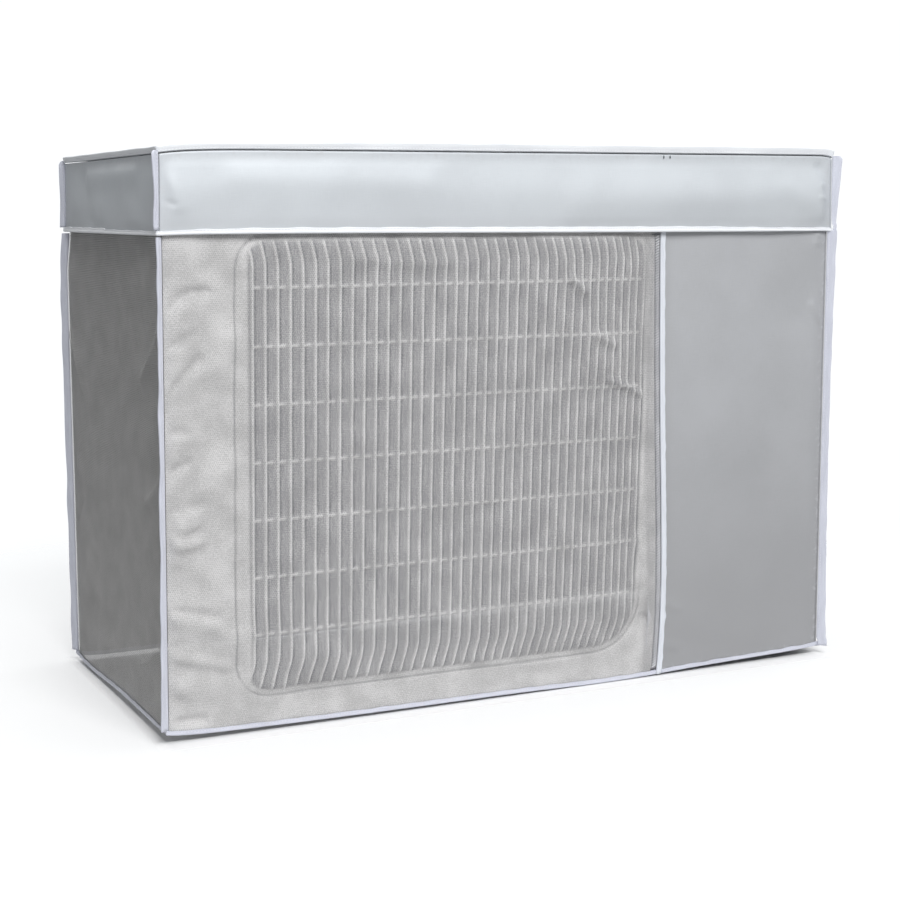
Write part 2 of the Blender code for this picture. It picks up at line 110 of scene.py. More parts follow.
def paced_places(low: float, high: float, step_at: Callable[[Array], Array]) -> Array:
    """Places from low to high whose spacing follows a step that changes along the way.

    The running sum of 1/step counts the steps, and the places are where it passes equal parts of its total.

    Args:
        low: The first place.
        high: The last place.
        step_at: The step wished for at each place.

    Returns:
        The places in rising order.
    """
    fine = np.linspace(low, high, 4001)
    density = np.ones_like(fine) / step_at(fine)
    run = np.concatenate([[0.0], np.cumsum((density[1:] + density[:-1]) / 2 * np.diff(fine))])
    return np.interp(np.linspace(0, run[-1], max(3, round(run[-1]) + 1)), run, fine)


class Side(Enum):
    """The four sides: the way along each one, seen from outside, and the way outward, as X and Y."""

    FRONT = ((1.0, 0.0), (0.0, -1.0))
    RIGHT = ((0.0, 1.0), (1.0, 0.0))
    BACK = ((-1.0, 0.0), (0.0, 1.0))
    LEFT = ((0.0, -1.0), (-1.0, 0.0))


@dataclass(frozen=True)
class Rim:
    """How the top's edge stands over the flat top, most of all between the corners of the front and back."""

    right: float = 0.0038
    front: float = 0.0046
    front_fall: float = 0.0011
    back_share: float = 0.8
    reach: float = 0.060
    left_run: float = 0.030
    right_run: float = 0.006

    def rise(self, x: Array, y: Array, width: float, depth: float) -> Array:
        """A rise that grows to the right all round, and one along the front and back that fades to their ends."""
        from_left, from_right = np.maximum(width / 2 + x, 0.0), np.maximum(width / 2 - x, 0.0)
        from_front, from_back = np.maximum(depth / 2 + y, 0.0), np.maximum(depth / 2 - y, 0.0)
        part = np.minimum(from_left / width, 1.0)
        ends = (1 - np.exp(-from_left / self.left_run)) * (1 - np.exp(-from_right / self.right_run))
        faces = bell(from_front, self.reach) + self.back_share * bell(from_back, self.reach)
        nearest = np.minimum.reduce([from_left, from_right, from_front, from_back])
        return self.right * part * bell(nearest, self.reach) + (self.front - self.front_fall * part) * ends * faces


@dataclass(frozen=True)
class Hem:
    """How far the hem droops below its corners: a little all round, more along the front and back, and sags."""

    droop: float = 0.0022
    lean: float = 0.38
    run: float = 0.016
    long: tuple[float, float] = (0.0060, 0.0040)
    power: float = 0.6
    reach: float = 0.060
    sags: tuple[tuple[float, float, float, float], ...] = (  # X, Y, reach and height
        (0.120, -0.195, 0.090, 0.0028),
        (-0.415, 0.130, 0.090, 0.0042),
        (-0.150, 0.195, 0.120, 0.0025),
        (0.415, -0.020, 0.100, 0.0020),
    )

    def drop(self, x: Array, y: Array, width: float, depth: float) -> Array:
        """The droop at a place of the outline, from its corner distance, its side and the sags' soft bumps."""
        across = np.clip(x / width + 0.5, 0.0, 1.0)
        from_corner = np.maximum(width / 2 - abs(x), 0.0) + np.maximum(depth / 2 - abs(y), 0.0)
        drop = self.droop * (1 - self.lean * (2 * across - 1)) * (1 - np.exp(-from_corner / self.run))
        sides = self.long[0] * bell(y + depth / 2, self.reach) + self.long[1] * bell(y - depth / 2, self.reach)
        drop = drop + sides * np.maximum(np.sin(np.pi * across), 0.0) ** self.power
        return drop + sum(height * bell(np.hypot(x - at_x, y - at_y), reach) for at_x, at_y, reach, height in self.sags)


@dataclass(frozen=True)
class Pattern:
    """The cut of the cover and how it hangs: its driving sizes, and where any point of the cut lies."""

    width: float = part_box("top_panel")[1].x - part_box("top_panel")[0].x
    depth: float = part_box("top_panel")[1].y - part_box("top_panel")[0].y
    height: float = 0.596
    band_drop: float = 0.082
    zip_x: float = 0.1785
    zip_top: float = 0.062
    cloth: float = 0.0015
    tape: float = 0.0008
    tape_fold: float = 0.006
    gap: float = 0.0003
    layer_gap: float = 0.0012
    top_gap: float = 0.0007
    zip_tape_width: float = 0.0065
    teeth_width: float = 0.0076
    zip_cloth_width: float = 0.016
    hem_spread: tuple[float, float] = (0.0052, -0.0055)
    hem: Hem = Hem()
    rim: Rim = Rim()
    zip_lean: float = 0.0045
    zip_bow: float = 0.0060
    zip_sway_reach: float = 0.110
    corner_push: tuple[float, float, float] = (0.0035, 0.120, 0.050)  # the body's back left corner: out, reach and run
    band_flare: float = 0.0036
    flare_ends: tuple[float, float] = (0.70, 0.060)  # how much less it flares at a corner, and how far from it
    band_slant: tuple[float, float] = (0.0010, -0.0020)  # how much higher its edge hangs at the left and the right
    band_swing: float = 0.0005
    band_wave: tuple[float, float] = (23.0, 31.0)

    @property
    def band_out(self) -> float:
        """The middle of the band's cloth, outward from its own outer face."""
        return -self.cloth / 2

    @property
    def body_face(self) -> float:
        """The outer face of the body's cloth, outward from the band's outer face."""
        return -(self.cloth + self.layer_gap)

    @property
    def body_out(self) -> float:
        """The middle of the body's cloth."""
        return self.body_face - self.cloth / 2

    @property
    def tape_out(self) -> float:
        """From the middle of the cloth to the middle of a layer of tape on it."""
        return self.cloth / 2 + self.gap + self.tape / 2

    @property
    def zip_tape_left(self) -> float:
        """The left edge of the tape beside the zip."""
        return self.zip_x - self.zip_tape_width / 2

    @property
    def teeth_right(self) -> float:
        """The right edge of the zip's teeth."""
        return self.zip_tape_left - self.gap

    @property
    def teeth_left(self) -> float:
        """The left edge of the zip's teeth."""
        return self.teeth_right - self.teeth_width

    def half(self, side: Side) -> float:
        """From the middle of the cover to the band's outer face on a side."""
        return (self.depth if side in (Side.FRONT, Side.BACK) else self.width) / 2

    def reach(self, side: Side) -> float:
        """Half the length of a side along it."""
        return (self.width if side in (Side.FRONT, Side.BACK) else self.depth) / 2

    def on_side(self, side: Side, along: Array, out: Array, up: Array) -> Array:
        """Points of one side before it hangs.

        Args:
            side: The side.
            along: Places along it from its middle.
            out: How far out from the band's outer face.
            up: Heights.

        Returns:
            An array of X, Y and Z over the arguments' common shape.
        """
        (along_x, along_y), (out_x, out_y) = side.value
        along, out, up = np.broadcast_arrays(along, out, up)
        far = self.half(side) + out
        return np.stack([along_x * along + out_x * far, along_y * along + out_y * far, up], axis=-1)

    def rise(self, x: Array, y: Array) -> Array:
        """How far the top's edge stands over the flat top at a place."""
        return self.rim.rise(x, y, self.width, self.depth)

    def hang(self, points: Array) -> Array:
        """Where points of the straight-sided cut lie once the cover hangs.

        The sides spread evenly on the way down, the zip leans and bows to the right, the back left corner
        stands out below the band, the hem droops with the cube of the way down, and the rim's rise dies
        out below it as exp(z/reach).
        """
        x, y, z = np.moveaxis(points, -1, 0)
        down = np.clip(-z / self.height, 0.0, 1.0)
        to_front = np.clip(0.5 - y / self.depth, 0.0, 1.0)
        near_zip = to_front * bell(x - self.zip_x, self.zip_sway_reach)
        sway = near_zip * (self.zip_lean * down + self.zip_bow * np.sin(np.pi * down**3))
        spread_x, spread_y = self.hem_spread
        push, push_reach, push_run = self.corner_push
        push = push * smooth((-z - self.band_drop) / push_run) * (1 - down / 2)
        push = push * bell(np.hypot(x + self.width / 2, y - self.depth / 2), push_reach)
        lowered = z - self.hem.drop(x, y, self.width, self.depth) * down**3
        return np.stack(
            [
                x * (1 + spread_x * down / (self.width / 2)) + sway - push,
                y * (1 + spread_y * down / (self.depth / 2)) + push,
                lowered + self.rise(x, y) * np.exp(np.minimum(z, 0.0) / self.rim.reach),
            ],
            axis=-1,
        )

    def hang_band(self, points: Array) -> Array:
        """As hang, for the band, whose lower edge also stands off the body in long shallow waves."""
        x, y, z = np.moveaxis(points, -1, 0)
        down = np.clip(-z / self.band_drop, 0.0, 1.0)
        pace_x, pace_y = self.band_wave
        flare = (self.band_flare - self.band_swing * np.sin(x * pace_x) * np.cos(y * pace_y)) * down**2
        from_corner = np.maximum(self.width / 2 - abs(x), 0.0) + np.maximum(self.depth / 2 - abs(y), 0.0)
        flare = flare * (1 - self.flare_ends[0] * bell(from_corner, self.flare_ends[1]))
        left, right = self.band_slant
        z = z + down * (left + (right - left) * smooth(x / self.width + 0.5))
        out = np.stack([x * (1 + flare / (self.width / 2)), y * (1 + flare / (self.depth / 2)), z], axis=-1)
        return self.hang(out)


PATTERN = Pattern()


class Sketch:
    """A material's node tree, with a short call for each kind of node that the finishes share."""

    def __init__(self, name: str) -> None:
        """Starts a material with one Principled shader."""
        self.material = bpy.data.materials.new(name)
        self.material.use_nodes = True
        self.tree = self.material.node_tree
        self.shader = self.tree.nodes["Principled BSDF"]

    def node(self, kind: str, inputs: dict[int | str, object] | None = None, **settings: object) -> bpy.types.Node:
        """Adds a node.

        Args:
            kind: The node's type name after ShaderNode.
            inputs: A socket to link from or a value, for each input by number or name.
            settings: The node's own settings.

        Returns:
            The node.
        """
        made = self.tree.nodes.new("ShaderNode" + kind)
        for key, value in settings.items():
            setattr(made, key, value)
        for key, value in (inputs or {}).items():
            self.feed(made.inputs[key], value)
        return made

    def feed(self, socket: bpy.types.NodeSocket, value: object) -> None:
        """Links a socket to another one, or sets its value."""
        if isinstance(value, bpy.types.NodeSocket):
            self.tree.links.new(value, socket)
        else:
            socket.default_value = value

    def set(self, **values: object) -> None:
        """Sets the shader's sockets, with _ for each space in a name."""
        for key, value in values.items():
            self.feed(self.shader.inputs[key.replace("_", " ")], value)

    def math(self, operation: str, first: object, second: object = 0.0) -> bpy.types.NodeSocket:
        """One sum, product or other operation on numbers."""
        return self.node("Math", {0: first, 1: second}, operation=operation).outputs[0]

    def vector(self, operation: str, *inputs: object) -> bpy.types.Node:
        """One operation on vectors."""
        return self.node("VectorMath", dict(enumerate(inputs)), operation=operation)

    def cut(self) -> bpy.types.NodeSocket:
        """The place on the flat cut, in metres, from the piece's own UV map."""
        return self.node("UVMap", uv_map=UV_NAME).outputs[0]

    def place(self) -> bpy.types.NodeSocket:
        """The place in the piece's own space, in metres."""
        return self.node("TexCoord").outputs["Object"]

    def noise(self, vector: object, scale: object, detail: float = 2.0) -> bpy.types.NodeSocket:
        """Soft noise from 0 to 1. The scale is a number, or three for noise that is stretched."""
        if isinstance(scale, tuple):
            vector = self.vector("MULTIPLY", vector, scale).outputs[0]
            scale = 1.0
        made = self.node("TexNoise", {"Vector": vector, "Scale": scale, "Detail": detail})
        return made.outputs[0]

    def span(self, value: object, before: tuple[float, float], after: tuple[float, float]) -> bpy.types.NodeSocket:
        """Maps one range of numbers softly on another."""
        inputs = {0: value, 1: before[0], 2: before[1], 3: after[0], 4: after[1]}
        return self.node("MapRange", inputs, interpolation_type="SMOOTHSTEP").outputs[0]

    def blend(self, factor: object, first: Sequence[float], second: Sequence[float]) -> bpy.types.NodeSocket:
        """A colour between two colours."""
        made = self.node("Mix", data_type="RGBA")
        self.feed(made.inputs[0], factor)
        self.feed(made.inputs[6], first if isinstance(first, bpy.types.NodeSocket) else (*first, 1.0))
        self.feed(made.inputs[7], second if isinstance(second, bpy.types.NodeSocket) else (*second, 1.0))
        return made.outputs[2]

    def bump(self, height: object, distance: float, strength: float = 1.0) -> None:
        """Raises the shader's normal by a height from 0 to 1 over a real distance."""
        inputs = {"Height": height, "Distance": distance, "Strength": strength}
        self.set(Normal=self.node("Bump", inputs).outputs[0])


def plain_weave(sketch: Sketch, cut: object, thread: float) -> bpy.types.NodeSocket:
    """The height of a plain weave: sin(pi u/thread) * sin(pi v/thread), a bump at each crossing."""
    scaled = sketch.vector("MULTIPLY", cut, (np.pi / thread, np.pi / thread, 0.0)).outputs[0]
    waves = sketch.node("SeparateXYZ", {0: sketch.vector("SINE", scaled).outputs[0]})
    return sketch.math("MULTIPLY_ADD", sketch.math("MULTIPLY", waves.outputs[0], waves.outputs[1]), 0.5)


@dataclass(frozen=True)
class SilverCloth:
    """Silver coated woven cloth: fine plain weave under a satin coat, with slubs and rubbed edges, painted shade with
    some dust near its seams, and painted shade lower down.
    """

    name: str = "silver_cloth"
    light: tuple[float, float, float] = (0.520, 0.530, 0.552)
    dark: tuple[float, float, float] = (0.475, 0.484, 0.502)
    # The colour of the painted shade near the seams and lower down, partly dust near the seams.
    dust_and_shade: tuple[float, float, float] = (0.345, 0.345, 0.355)
    rubbed: tuple[float, float, float] = (0.58, 0.59, 0.61)
    roughness: tuple[float, float] = (0.52, 0.58)
    metallic: float = 0.20
    shade_by_height: tuple[float, float, float] = (-0.15, -0.66, 0.80)  # painted shade, darker from one height down to another, and how much
    thread: float = 0.00048

    def material(self) -> bpy.types.Material:
        """Builds the cloth's nodes."""
        sketch = Sketch(self.name)
        cut = sketch.cut()
        blotch = sketch.noise(cut, 9.0, 3.0)
        slub = sketch.noise(cut, (70.0, 1500.0, 1.0), 1.0)
        pick = sketch.noise(cut, (1700.0, 80.0, 1.0), 1.0)
        streaks = sketch.math("MULTIPLY", sketch.math("ADD", slub, pick), 0.5)
        tone = sketch.math("ADD", sketch.math("MULTIPLY", blotch, 0.6), sketch.math("MULTIPLY", streaks, 0.4))
        colour = sketch.blend(sketch.span(tone, (0.36, 0.64), (0.0, 1.0)), self.dark, self.light)
        edge = sketch.node("Attribute", attribute_name=EDGE_NAME).outputs["Fac"]
        broken = sketch.noise(cut, 160.0, 4.0)
        near = sketch.span(edge, (0.0015, 0.011), (1.0, 0.0))
        rub = sketch.math("MULTIPLY", near, sketch.span(broken, (0.50, 0.72), (0.0, 0.5)))
        # Darker near a sewn edge: painted shade in the seams' creases, partly dust.
        seam_shade_and_grime = sketch.math("MULTIPLY", sketch.span(edge, (0.0, 0.020), (1.0, 0.0)), sketch.span(blotch, (0.3, 0.7), (0.1, 0.4)))
        colour = sketch.blend(seam_shade_and_grime, colour, self.dust_and_shade)
        # Painted shade: darker from one height on the cut down to a lower one, by the given amount.
        height_on_cut = sketch.node("SeparateXYZ", {0: cut}).outputs[1]
        high, low, amount = self.shade_by_height
        colour = sketch.blend(sketch.span(height_on_cut, (low, high), (amount, 0.0)), colour, self.dust_and_shade)
        colour = sketch.blend(rub, colour, self.rubbed)
        weave = plain_weave(sketch, cut, self.thread)
        height = sketch.math("ADD", sketch.math("MULTIPLY", weave, 0.55), sketch.math("MULTIPLY", streaks, 0.45))
        low, high = self.roughness
        sketch.set(Base_Color=colour, Roughness=sketch.span(blotch, (0.3, 0.7), (low, high)), Metallic=self.metallic)
        sketch.bump(height, 0.00012, 0.6)
        return sketch.material


@dataclass(frozen=True)
class WhiteNet:
    """Fine white net of six-sided holes, knitted, with its holes left open as real gaps in the surface.

    Where it is drawn over what it is pressed to, its holes open, and on the crests of the ribs they close. Its colour
    there takes painted shade between the ribs and a painted highlight on their crests.
    """

    name: str = "white_net"
    light: tuple[float, float, float] = (0.68, 0.672, 0.672)
    dark: tuple[float, float, float] = (0.475, 0.470, 0.470)
    pressed: tuple[float, float, float] = (0.86, 0.855, 0.86)  # painted highlight on the ribs' crests, where its yarns close up
    shade_between_ribs: tuple[float, float, float] = (0.200, 0.200, 0.215)  # painted shade between the ribs, where it is drawn
    pitch: tuple[float, float] = (0.0021, 0.0023)
    hole: float = 0.10
    hole_drawn: float = 0.20
    softness: float = 0.15
    sheen: float = 0.15

    def cell(self, sketch: Sketch, cut: object) -> bpy.types.NodeSocket:
        """How far a place is from the middle of its six-sided cell, from 0 to 0.5 at the cell's edge.

        The middles form two rectangular lattices, one shifted by half a cell. The distance in each is the
        larger of |x| and |x|/2 + |y|*sqrt(3)/2, and the smaller of the two is the cell's own.
        """
        half_y = np.sqrt(3) / 2
        scaled = sketch.vector("MULTIPLY", cut, (1 / self.pitch[0], 1 / self.pitch[1], 0.0)).outputs[0]
        distances = []
        for shift in ((0.0, 0.0, 0.0), (0.5, half_y, 0.0)):
            moved = sketch.vector("ADD", scaled, shift).outputs[0]
            wrapped = sketch.vector("WRAP", moved, (0.5, half_y, 0.5), (-0.5, -half_y, -0.5)).outputs[0]
            size = sketch.vector("ABSOLUTE", wrapped).outputs[0]
            slanted = sketch.vector("DOT_PRODUCT", size, (0.5, half_y, 0.0)).outputs["Value"]
            distances.append(sketch.math("MAXIMUM", sketch.node("SeparateXYZ", {0: size}).outputs[0], slanted))
        return sketch.math("MINIMUM", *distances)

    def material(self) -> bpy.types.Material:
        """Builds the net's nodes: alpha is 0 in a hole and 1 on yarn, and the yarn is rounded by bump."""
        sketch = Sketch(self.name)
        cut = sketch.cut()
        shake = sketch.noise(cut, 330.0, 2.0)
        drift = sketch.node("CombineXYZ", {0: shake, 1: sketch.noise(cut, 290.0, 2.0)}).outputs[0]
        drift = sketch.vector("SCALE", drift)
        drift.inputs["Scale"].default_value = 0.0012
        distance = self.cell(sketch, sketch.vector("ADD", cut, drift.outputs[0]).outputs[0])
        uneven = sketch.math("MULTIPLY_ADD", sketch.noise(cut, 70.0, 3.0), 0.06)
        uneven.node.inputs[2].default_value = -0.03
        drawn = sketch.node("Attribute", attribute_name=DRAWN_NAME).outputs["Fac"]
        opened = sketch.math("MULTIPLY_ADD", drawn, self.hole - self.hole_drawn)
        opened.node.inputs[2].default_value = -self.hole
        inside = sketch.math("ADD", sketch.math("ADD", distance, uneven), opened)
        yarn = sketch.span(inside, (-self.softness, self.softness), (0.0, 1.0))
        mottle = sketch.math("ADD", sketch.noise(cut, 30.0, 4.0), sketch.math("MULTIPLY", sketch.noise(cut, 620.0, 1.0), 1.0))
        colour = sketch.blend(sketch.span(mottle, (0.70, 1.30), (0.0, 1.0)), self.dark, self.light)
        # Painted shade, streaked along the yarn, where the net is drawn: between the ribs, in the groove and beside the
        # zip.
        run = sketch.math("ADD", sketch.noise(cut, (900.0, 45.0, 1.0), 3.0), sketch.noise(cut, 680.0, 1.0))
        streaked_shade = sketch.math("MULTIPLY", sketch.span(drawn, (0.0, 1.15), (0.0, 1.0)), sketch.span(run, (0.78, 1.22), (0.46, 1.0)))
        colour = sketch.blend(streaked_shade, colour, self.shade_between_ribs)
        # Painted highlight on the ribs' crests, where the drawn mark falls below 0.
        colour = sketch.blend(sketch.span(drawn, (-0.25, 0.0), (1.0, 0.0)), colour, self.pressed)
        fuzz = sketch.noise(cut, 2600.0, 2.0)
        round_yarn = sketch.math("ADD", yarn, sketch.math("MULTIPLY", fuzz, 0.3))
        sketch.set(Base_Color=colour, Roughness=0.78, Alpha=yarn, Sheen_Weight=self.sheen, Sheen_Roughness=0.5)
        sketch.bump(round_yarn, 0.0003, 0.7)
        return sketch.material


@dataclass(frozen=True)
class BindingTape:
    """White binding tape: a fine twill across a soft matt ribbon, slightly blue, greyer where it is handled."""

    name: str = "white_tape"
    light: tuple[float, float, float] = (0.945, 0.970, 1.0)
    dark: tuple[float, float, float] = (0.85, 0.875, 0.92)
    pitch: float = 0.0009
    sheen: float = 0.3

    def material(self) -> bpy.types.Material:
        """Builds the tape's nodes: twill = sine of (u + v) over the pitch, over soft noise."""
        sketch = Sketch(self.name)
        cut = sketch.cut()
        slant = sketch.vector("DOT_PRODUCT", cut, (TURN / self.pitch, TURN / self.pitch, 0.0)).outputs["Value"]
        twill = sketch.math("MULTIPLY_ADD", sketch.math("SINE", slant), 0.5)
        twill.node.inputs[2].default_value = 0.5
        fray = sketch.noise(cut, 1500.0, 2.0)
        soil = sketch.noise(cut, (24.0, 240.0, 1.0), 4.0)
        tone = sketch.math("ADD", sketch.math("MULTIPLY", soil, 0.75), sketch.math("MULTIPLY", twill, 0.25))
        colour = sketch.blend(sketch.span(tone, (0.25, 0.62), (0.0, 1.0)), self.dark, self.light)
        height = sketch.math("ADD", sketch.math("MULTIPLY", twill, 0.7), sketch.math("MULTIPLY", fray, 0.3))
        sketch.set(Base_Color=colour, Roughness=sketch.span(fray, (0.3, 0.7), (0.55, 0.72)))
        sketch.set(Sheen_Weight=self.sheen, Sheen_Roughness=0.45)
        sketch.bump(height, 0.00015, 0.6)
        return sketch.material


@dataclass(frozen=True)
class WovenStrip:
    """The woven strip behind the zip: a grey-white plain weave."""

    name: str = "zip_strip_cloth"
    # Its own grey-white darkened with painted shade for the gaps between the teeth.
    light: tuple[float, float, float] = (0.56, 0.56, 0.58)
    dark: tuple[float, float, float] = (0.40, 0.40, 0.42)

    def material(self) -> bpy.types.Material:
        """Builds the strip's nodes: a plain weave over soft noise."""
        sketch = Sketch(self.name)
        cut = sketch.cut()
        weave = plain_weave(sketch, cut, 0.0007)
        soil = sketch.noise(cut, 90.0, 3.0)
        tone = sketch.math("ADD", sketch.math("MULTIPLY", weave, 0.5), sketch.math("MULTIPLY", soil, 0.5))
        colour = sketch.blend(sketch.span(tone, (0.25, 0.75), (0.0, 1.0)), self.dark, self.light)
        sketch.set(Base_Color=colour, Roughness=0.8)
        sketch.bump(weave, 0.0002, 0.7)
        return sketch.material


@dataclass(frozen=True)
class Nylon:
    """Moulded nylon of the zip's teeth, or sewing thread: satin, with faint streaks and dulled patches."""

    name: str = "zip_nylon"
    light: tuple[float, float, float] = (0.64, 0.645, 0.67)
    dark: tuple[float, float, float] = (0.52, 0.525, 0.55)
    roughness: tuple[float, float] = (0.42, 0.58)
    grain: float = 900.0

    def material(self) -> bpy.types.Material:
        """Builds the nylon's nodes from noise in the piece's own space."""
        sketch = Sketch(self.name)
        place = sketch.place()
        streak = sketch.noise(place, self.grain, 2.0)
        dull = sketch.noise(place, 40.0, 3.0)
        colour = sketch.blend(sketch.span(dull, (0.3, 0.7), (0.0, 1.0)), self.dark, self.light)
        low, high = self.roughness
        sketch.set(Base_Color=colour, Roughness=sketch.span(streak, (0.3, 0.7), (low, high)))
        sketch.bump(streak, 0.0001, 0.35)
        return sketch.material


@dataclass(frozen=True)
class PaleFloor:
    """A plain pale studio floor."""

    name: str = "pale_floor"
    light: tuple[float, float, float] = (0.92, 0.92, 0.92)
    dark: tuple[float, float, float] = (0.89, 0.89, 0.89)
    fade: tuple[float, float] = (0.75, 1.5)
    cover: float = 0.60
    footprint: tuple[float, float] = (0.43, 0.21)  # half sizes, where it is seen whole through the net

    def material(self) -> bpy.types.Material:
        """Builds the floor's nodes: whole under the cover, then thinner, and gone far from the middle."""
        sketch = Sketch(self.name)
        parts = sketch.vector("DIVIDE", sketch.place(), (*self.footprint, 1.0)).outputs[0]
        parts = sketch.node("SeparateXYZ", {0: sketch.vector("ABSOLUTE", parts).outputs[0]})
        under = sketch.span(sketch.math("MAXIMUM", parts.outputs[0], parts.outputs[1]), (0.97, 1.05), (1.0, 0.0))
        soft = sketch.noise(sketch.place(), 0.8, 2.0)
        far = sketch.vector("LENGTH", sketch.place()).outputs["Value"]
        sketch.set(Base_Color=sketch.blend(soft, self.dark, self.light), Roughness=0.9)
        sketch.set(Alpha=sketch.math("MAXIMUM", under, sketch.span(far, self.fade, (self.cover, 0.0))))
        return sketch.material


Finish = SilverCloth | WhiteNet | BindingTape | WovenStrip | Nylon | PaleFloor

# The band and the top take a lighter copy of the body's silver cloth: painted light, for the light they catch over the
# panels below. Along the band it turns darker towards the lower edge, as painted shade.
BAND_CLOTH = SilverCloth(
    name="silver_band_cloth", light=(0.695, 0.733, 0.767), dark=(0.645, 0.679, 0.712), dust_and_shade=(0.49, 0.505, 0.53),
    shade_by_height=(-0.008, -0.092, 0.42),
)
TOP_CLOTH = replace(BAND_CLOTH, name="silver_top_cloth", shade_by_height=(-1.0, -2.0, 0.0))
BODY_CLOTH = SilverCloth()
NET = WhiteNet()
# The left net is a darker copy of the front net: painted shade, as the left side gets less light.
SIDE_NET = WhiteNet(name="white_side_net", hole=0.25, softness=0.07, light=(0.49, 0.485, 0.48), dark=(0.37, 0.365, 0.36))
TAPE = BindingTape()
# The zip's tape and the tape of the corners and the hem are darker copies of the same white tape: painted shade, where
# less light falls on them than on the band's and the top's tape.
ZIP_TAPE = BindingTape(name="white_zip_tape", light=(0.81, 0.84, 0.90), dark=(0.69, 0.72, 0.78))
SEAM_TAPE = BindingTape(name="white_seam_tape", light=(0.69, 0.71, 0.80), dark=(0.58, 0.595, 0.68))
STRIP = WovenStrip()
TEETH = Nylon()
THREAD = Nylon(name="white_thread", light=(0.84, 0.84, 0.90), dark=(0.74, 0.74, 0.80), roughness=(0.5, 0.65))
DARK_THREAD = Nylon(name="dark_thread", light=(0.16, 0.18, 0.19), dark=(0.08, 0.09, 0.10), roughness=(0.5, 0.65))
FLOOR = PaleFloor()


@cache
def dressed(finish: Finish) -> bpy.types.Material:
    """The finish's material, built once."""
    return finish.material()


def mesh_piece(name: str, points: Array, faces: list, finish: Finish) -> bpy.types.Object:
    """Makes a smooth-shaded object of points and faces, with its finish on it.

    Args:
        name: The piece's name.
        points: Its vertices, any shape that ends in X, Y and Z.
        faces: Lists of vertex numbers.
        finish: What it is made of.

    Returns:
        The object, linked to the scene, at the origin.
    """
    mesh = bpy.data.meshes.new(name)
    mesh.from_pydata(points.reshape(-1, 3).tolist(), [], faces)
    mesh.shade_smooth()
    mesh.materials.append(dressed(finish))
    piece = bpy.data.objects.new(name, mesh)
    bpy.context.scene.collection.objects.link(piece)
    return piece


def grid_faces(rows: int, columns: int, ring: bool, tube: bool) -> Array:
    """The corner numbers of a grid's faces, wound so that columns crossed with rows points outward.

    Args:
        rows: How many rows of points there are.
        columns: How many points a row has.
        ring: Whether the last row joins the first.
        tube: Whether the last column joins the first.

    Returns:
        Four grid places for each face, over rows and columns one past the grid where it wraps.
    """
    row, column = np.meshgrid(np.arange(rows - 1 + ring), np.arange(columns - 1 + tube), indexing="ij")
    corners = [(row, column), (row, column + 1), (row + 1, column + 1), (row + 1, column)]
    return np.stack([np.stack(corner, axis=-1) for corner in corners], axis=-2).reshape(-1, 4, 2)


def signed_volume(points: Array, faces: Array) -> float:
    """Six times the volume inside faces of four corners, negative where they face inward."""
    a, b, c, d = (points[faces[:, corner]] for corner in range(4))
    return float((np.cross(b - a, c - a) * a).sum() + (np.cross(c - a, d - a) * a).sum())


def grid_piece(
    name: str,
    points: Array,
    cut: Array,
    finish: Finish,
    *,
    ring: bool = False,
    tube: bool = False,
    marks: dict[str, Array] | None = None,
) -> bpy.types.Object:
    """Makes a piece from a grid of points, closed where it is a ring or a tube.

    Args:
        name: The piece's name.
        points: Rows by columns by X, Y and Z.
        cut: The place on the flat cut for each point, with one more row or column where it wraps.
        finish: What it is made of.
        ring: Whether the last row joins the first.
        tube: Whether the last column joins the first. A tube that isn't a ring gets closed ends.
        marks: Numbers for each point, kept as attributes for the finish.

    Returns:
        The object.
    """
    rows, columns = points.shape[:2]
    places = grid_faces(rows, columns, ring, tube)
    faces = (places[..., 0] % rows) * columns + places[..., 1] % columns
    flat = points.reshape(-1, 3)
    if tube and signed_volume(flat, faces) < 0:
        faces, places = faces[:, ::-1], places[:, ::-1]
        turned = True
    else:
        turned = False
    lists = faces.tolist()
    corners = cut[places[..., 0], places[..., 1]].reshape(-1, 2)
    if tube and not ring:
        first, last = np.arange(columns), (rows - 1) * columns + np.arange(columns)
        ends = [last, first[::-1]] if not turned else [last[::-1], first]
        lists += [end.tolist() for end in ends]
        rows_at = [(rows - 1, last), (0, first)]
        for (row, numbers), end in zip(rows_at, ends):
            corners = np.concatenate([corners, cut[row, end % columns]])
    piece = mesh_piece(name, flat, lists, finish)
    layer = piece.data.uv_layers.new(name=UV_NAME)
    layer.data.foreach_set("uv", corners.astype(np.float32).ravel())
    for mark, values in (marks or {}).items():
        attribute = piece.data.attributes.new(mark, "FLOAT", "POINT")
        attribute.data.foreach_set("value", values.astype(np.float32).ravel())
    return piece


def fit(piece: bpy.types.Object, slot: str, *nodes: str) -> bpy.types.Object:
    """Lets a piece ride with the cover and stand for the solids it was made for."""
    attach(piece, "root")
    if nodes:
        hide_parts(*nodes)
    triangles = sum(len(polygon.vertices) - 2 for polygon in piece.data.polygons)
    LOG.info("%s: %d triangles before modifiers", piece.name, triangles)
    return piece


@dataclass(frozen=True)
class Fold:
    """A soft ridge or trough between two places of a side, with the bow of its line, all in metres."""

    start: tuple[float, float]
    end: tuple[float, float]
    width: float
    height: float
    bow: float = 0.0

    def lift(self, along: Array, up: Array) -> Array:
        """Height times exp(-(away/width)^2), away from a line that bows aside by 4*bow*t*(1 - t)."""
        run_s, run_z = self.end[0] - self.start[0], self.end[1] - self.start[1]
        length = np.hypot(run_s, run_z)
        off_s, off_z = along - self.start[0], up - self.start[1]
        part = (off_s * run_s + off_z * run_z) / length**2
        held = np.clip(part, 0.0, 1.0)
        aside = (off_z * run_s - off_s * run_z) / length - 4 * self.bow * held * (1 - held)
        beyond = (part - held) * length
        return self.height * np.exp(-(aside**2 + beyond**2) / self.width**2)


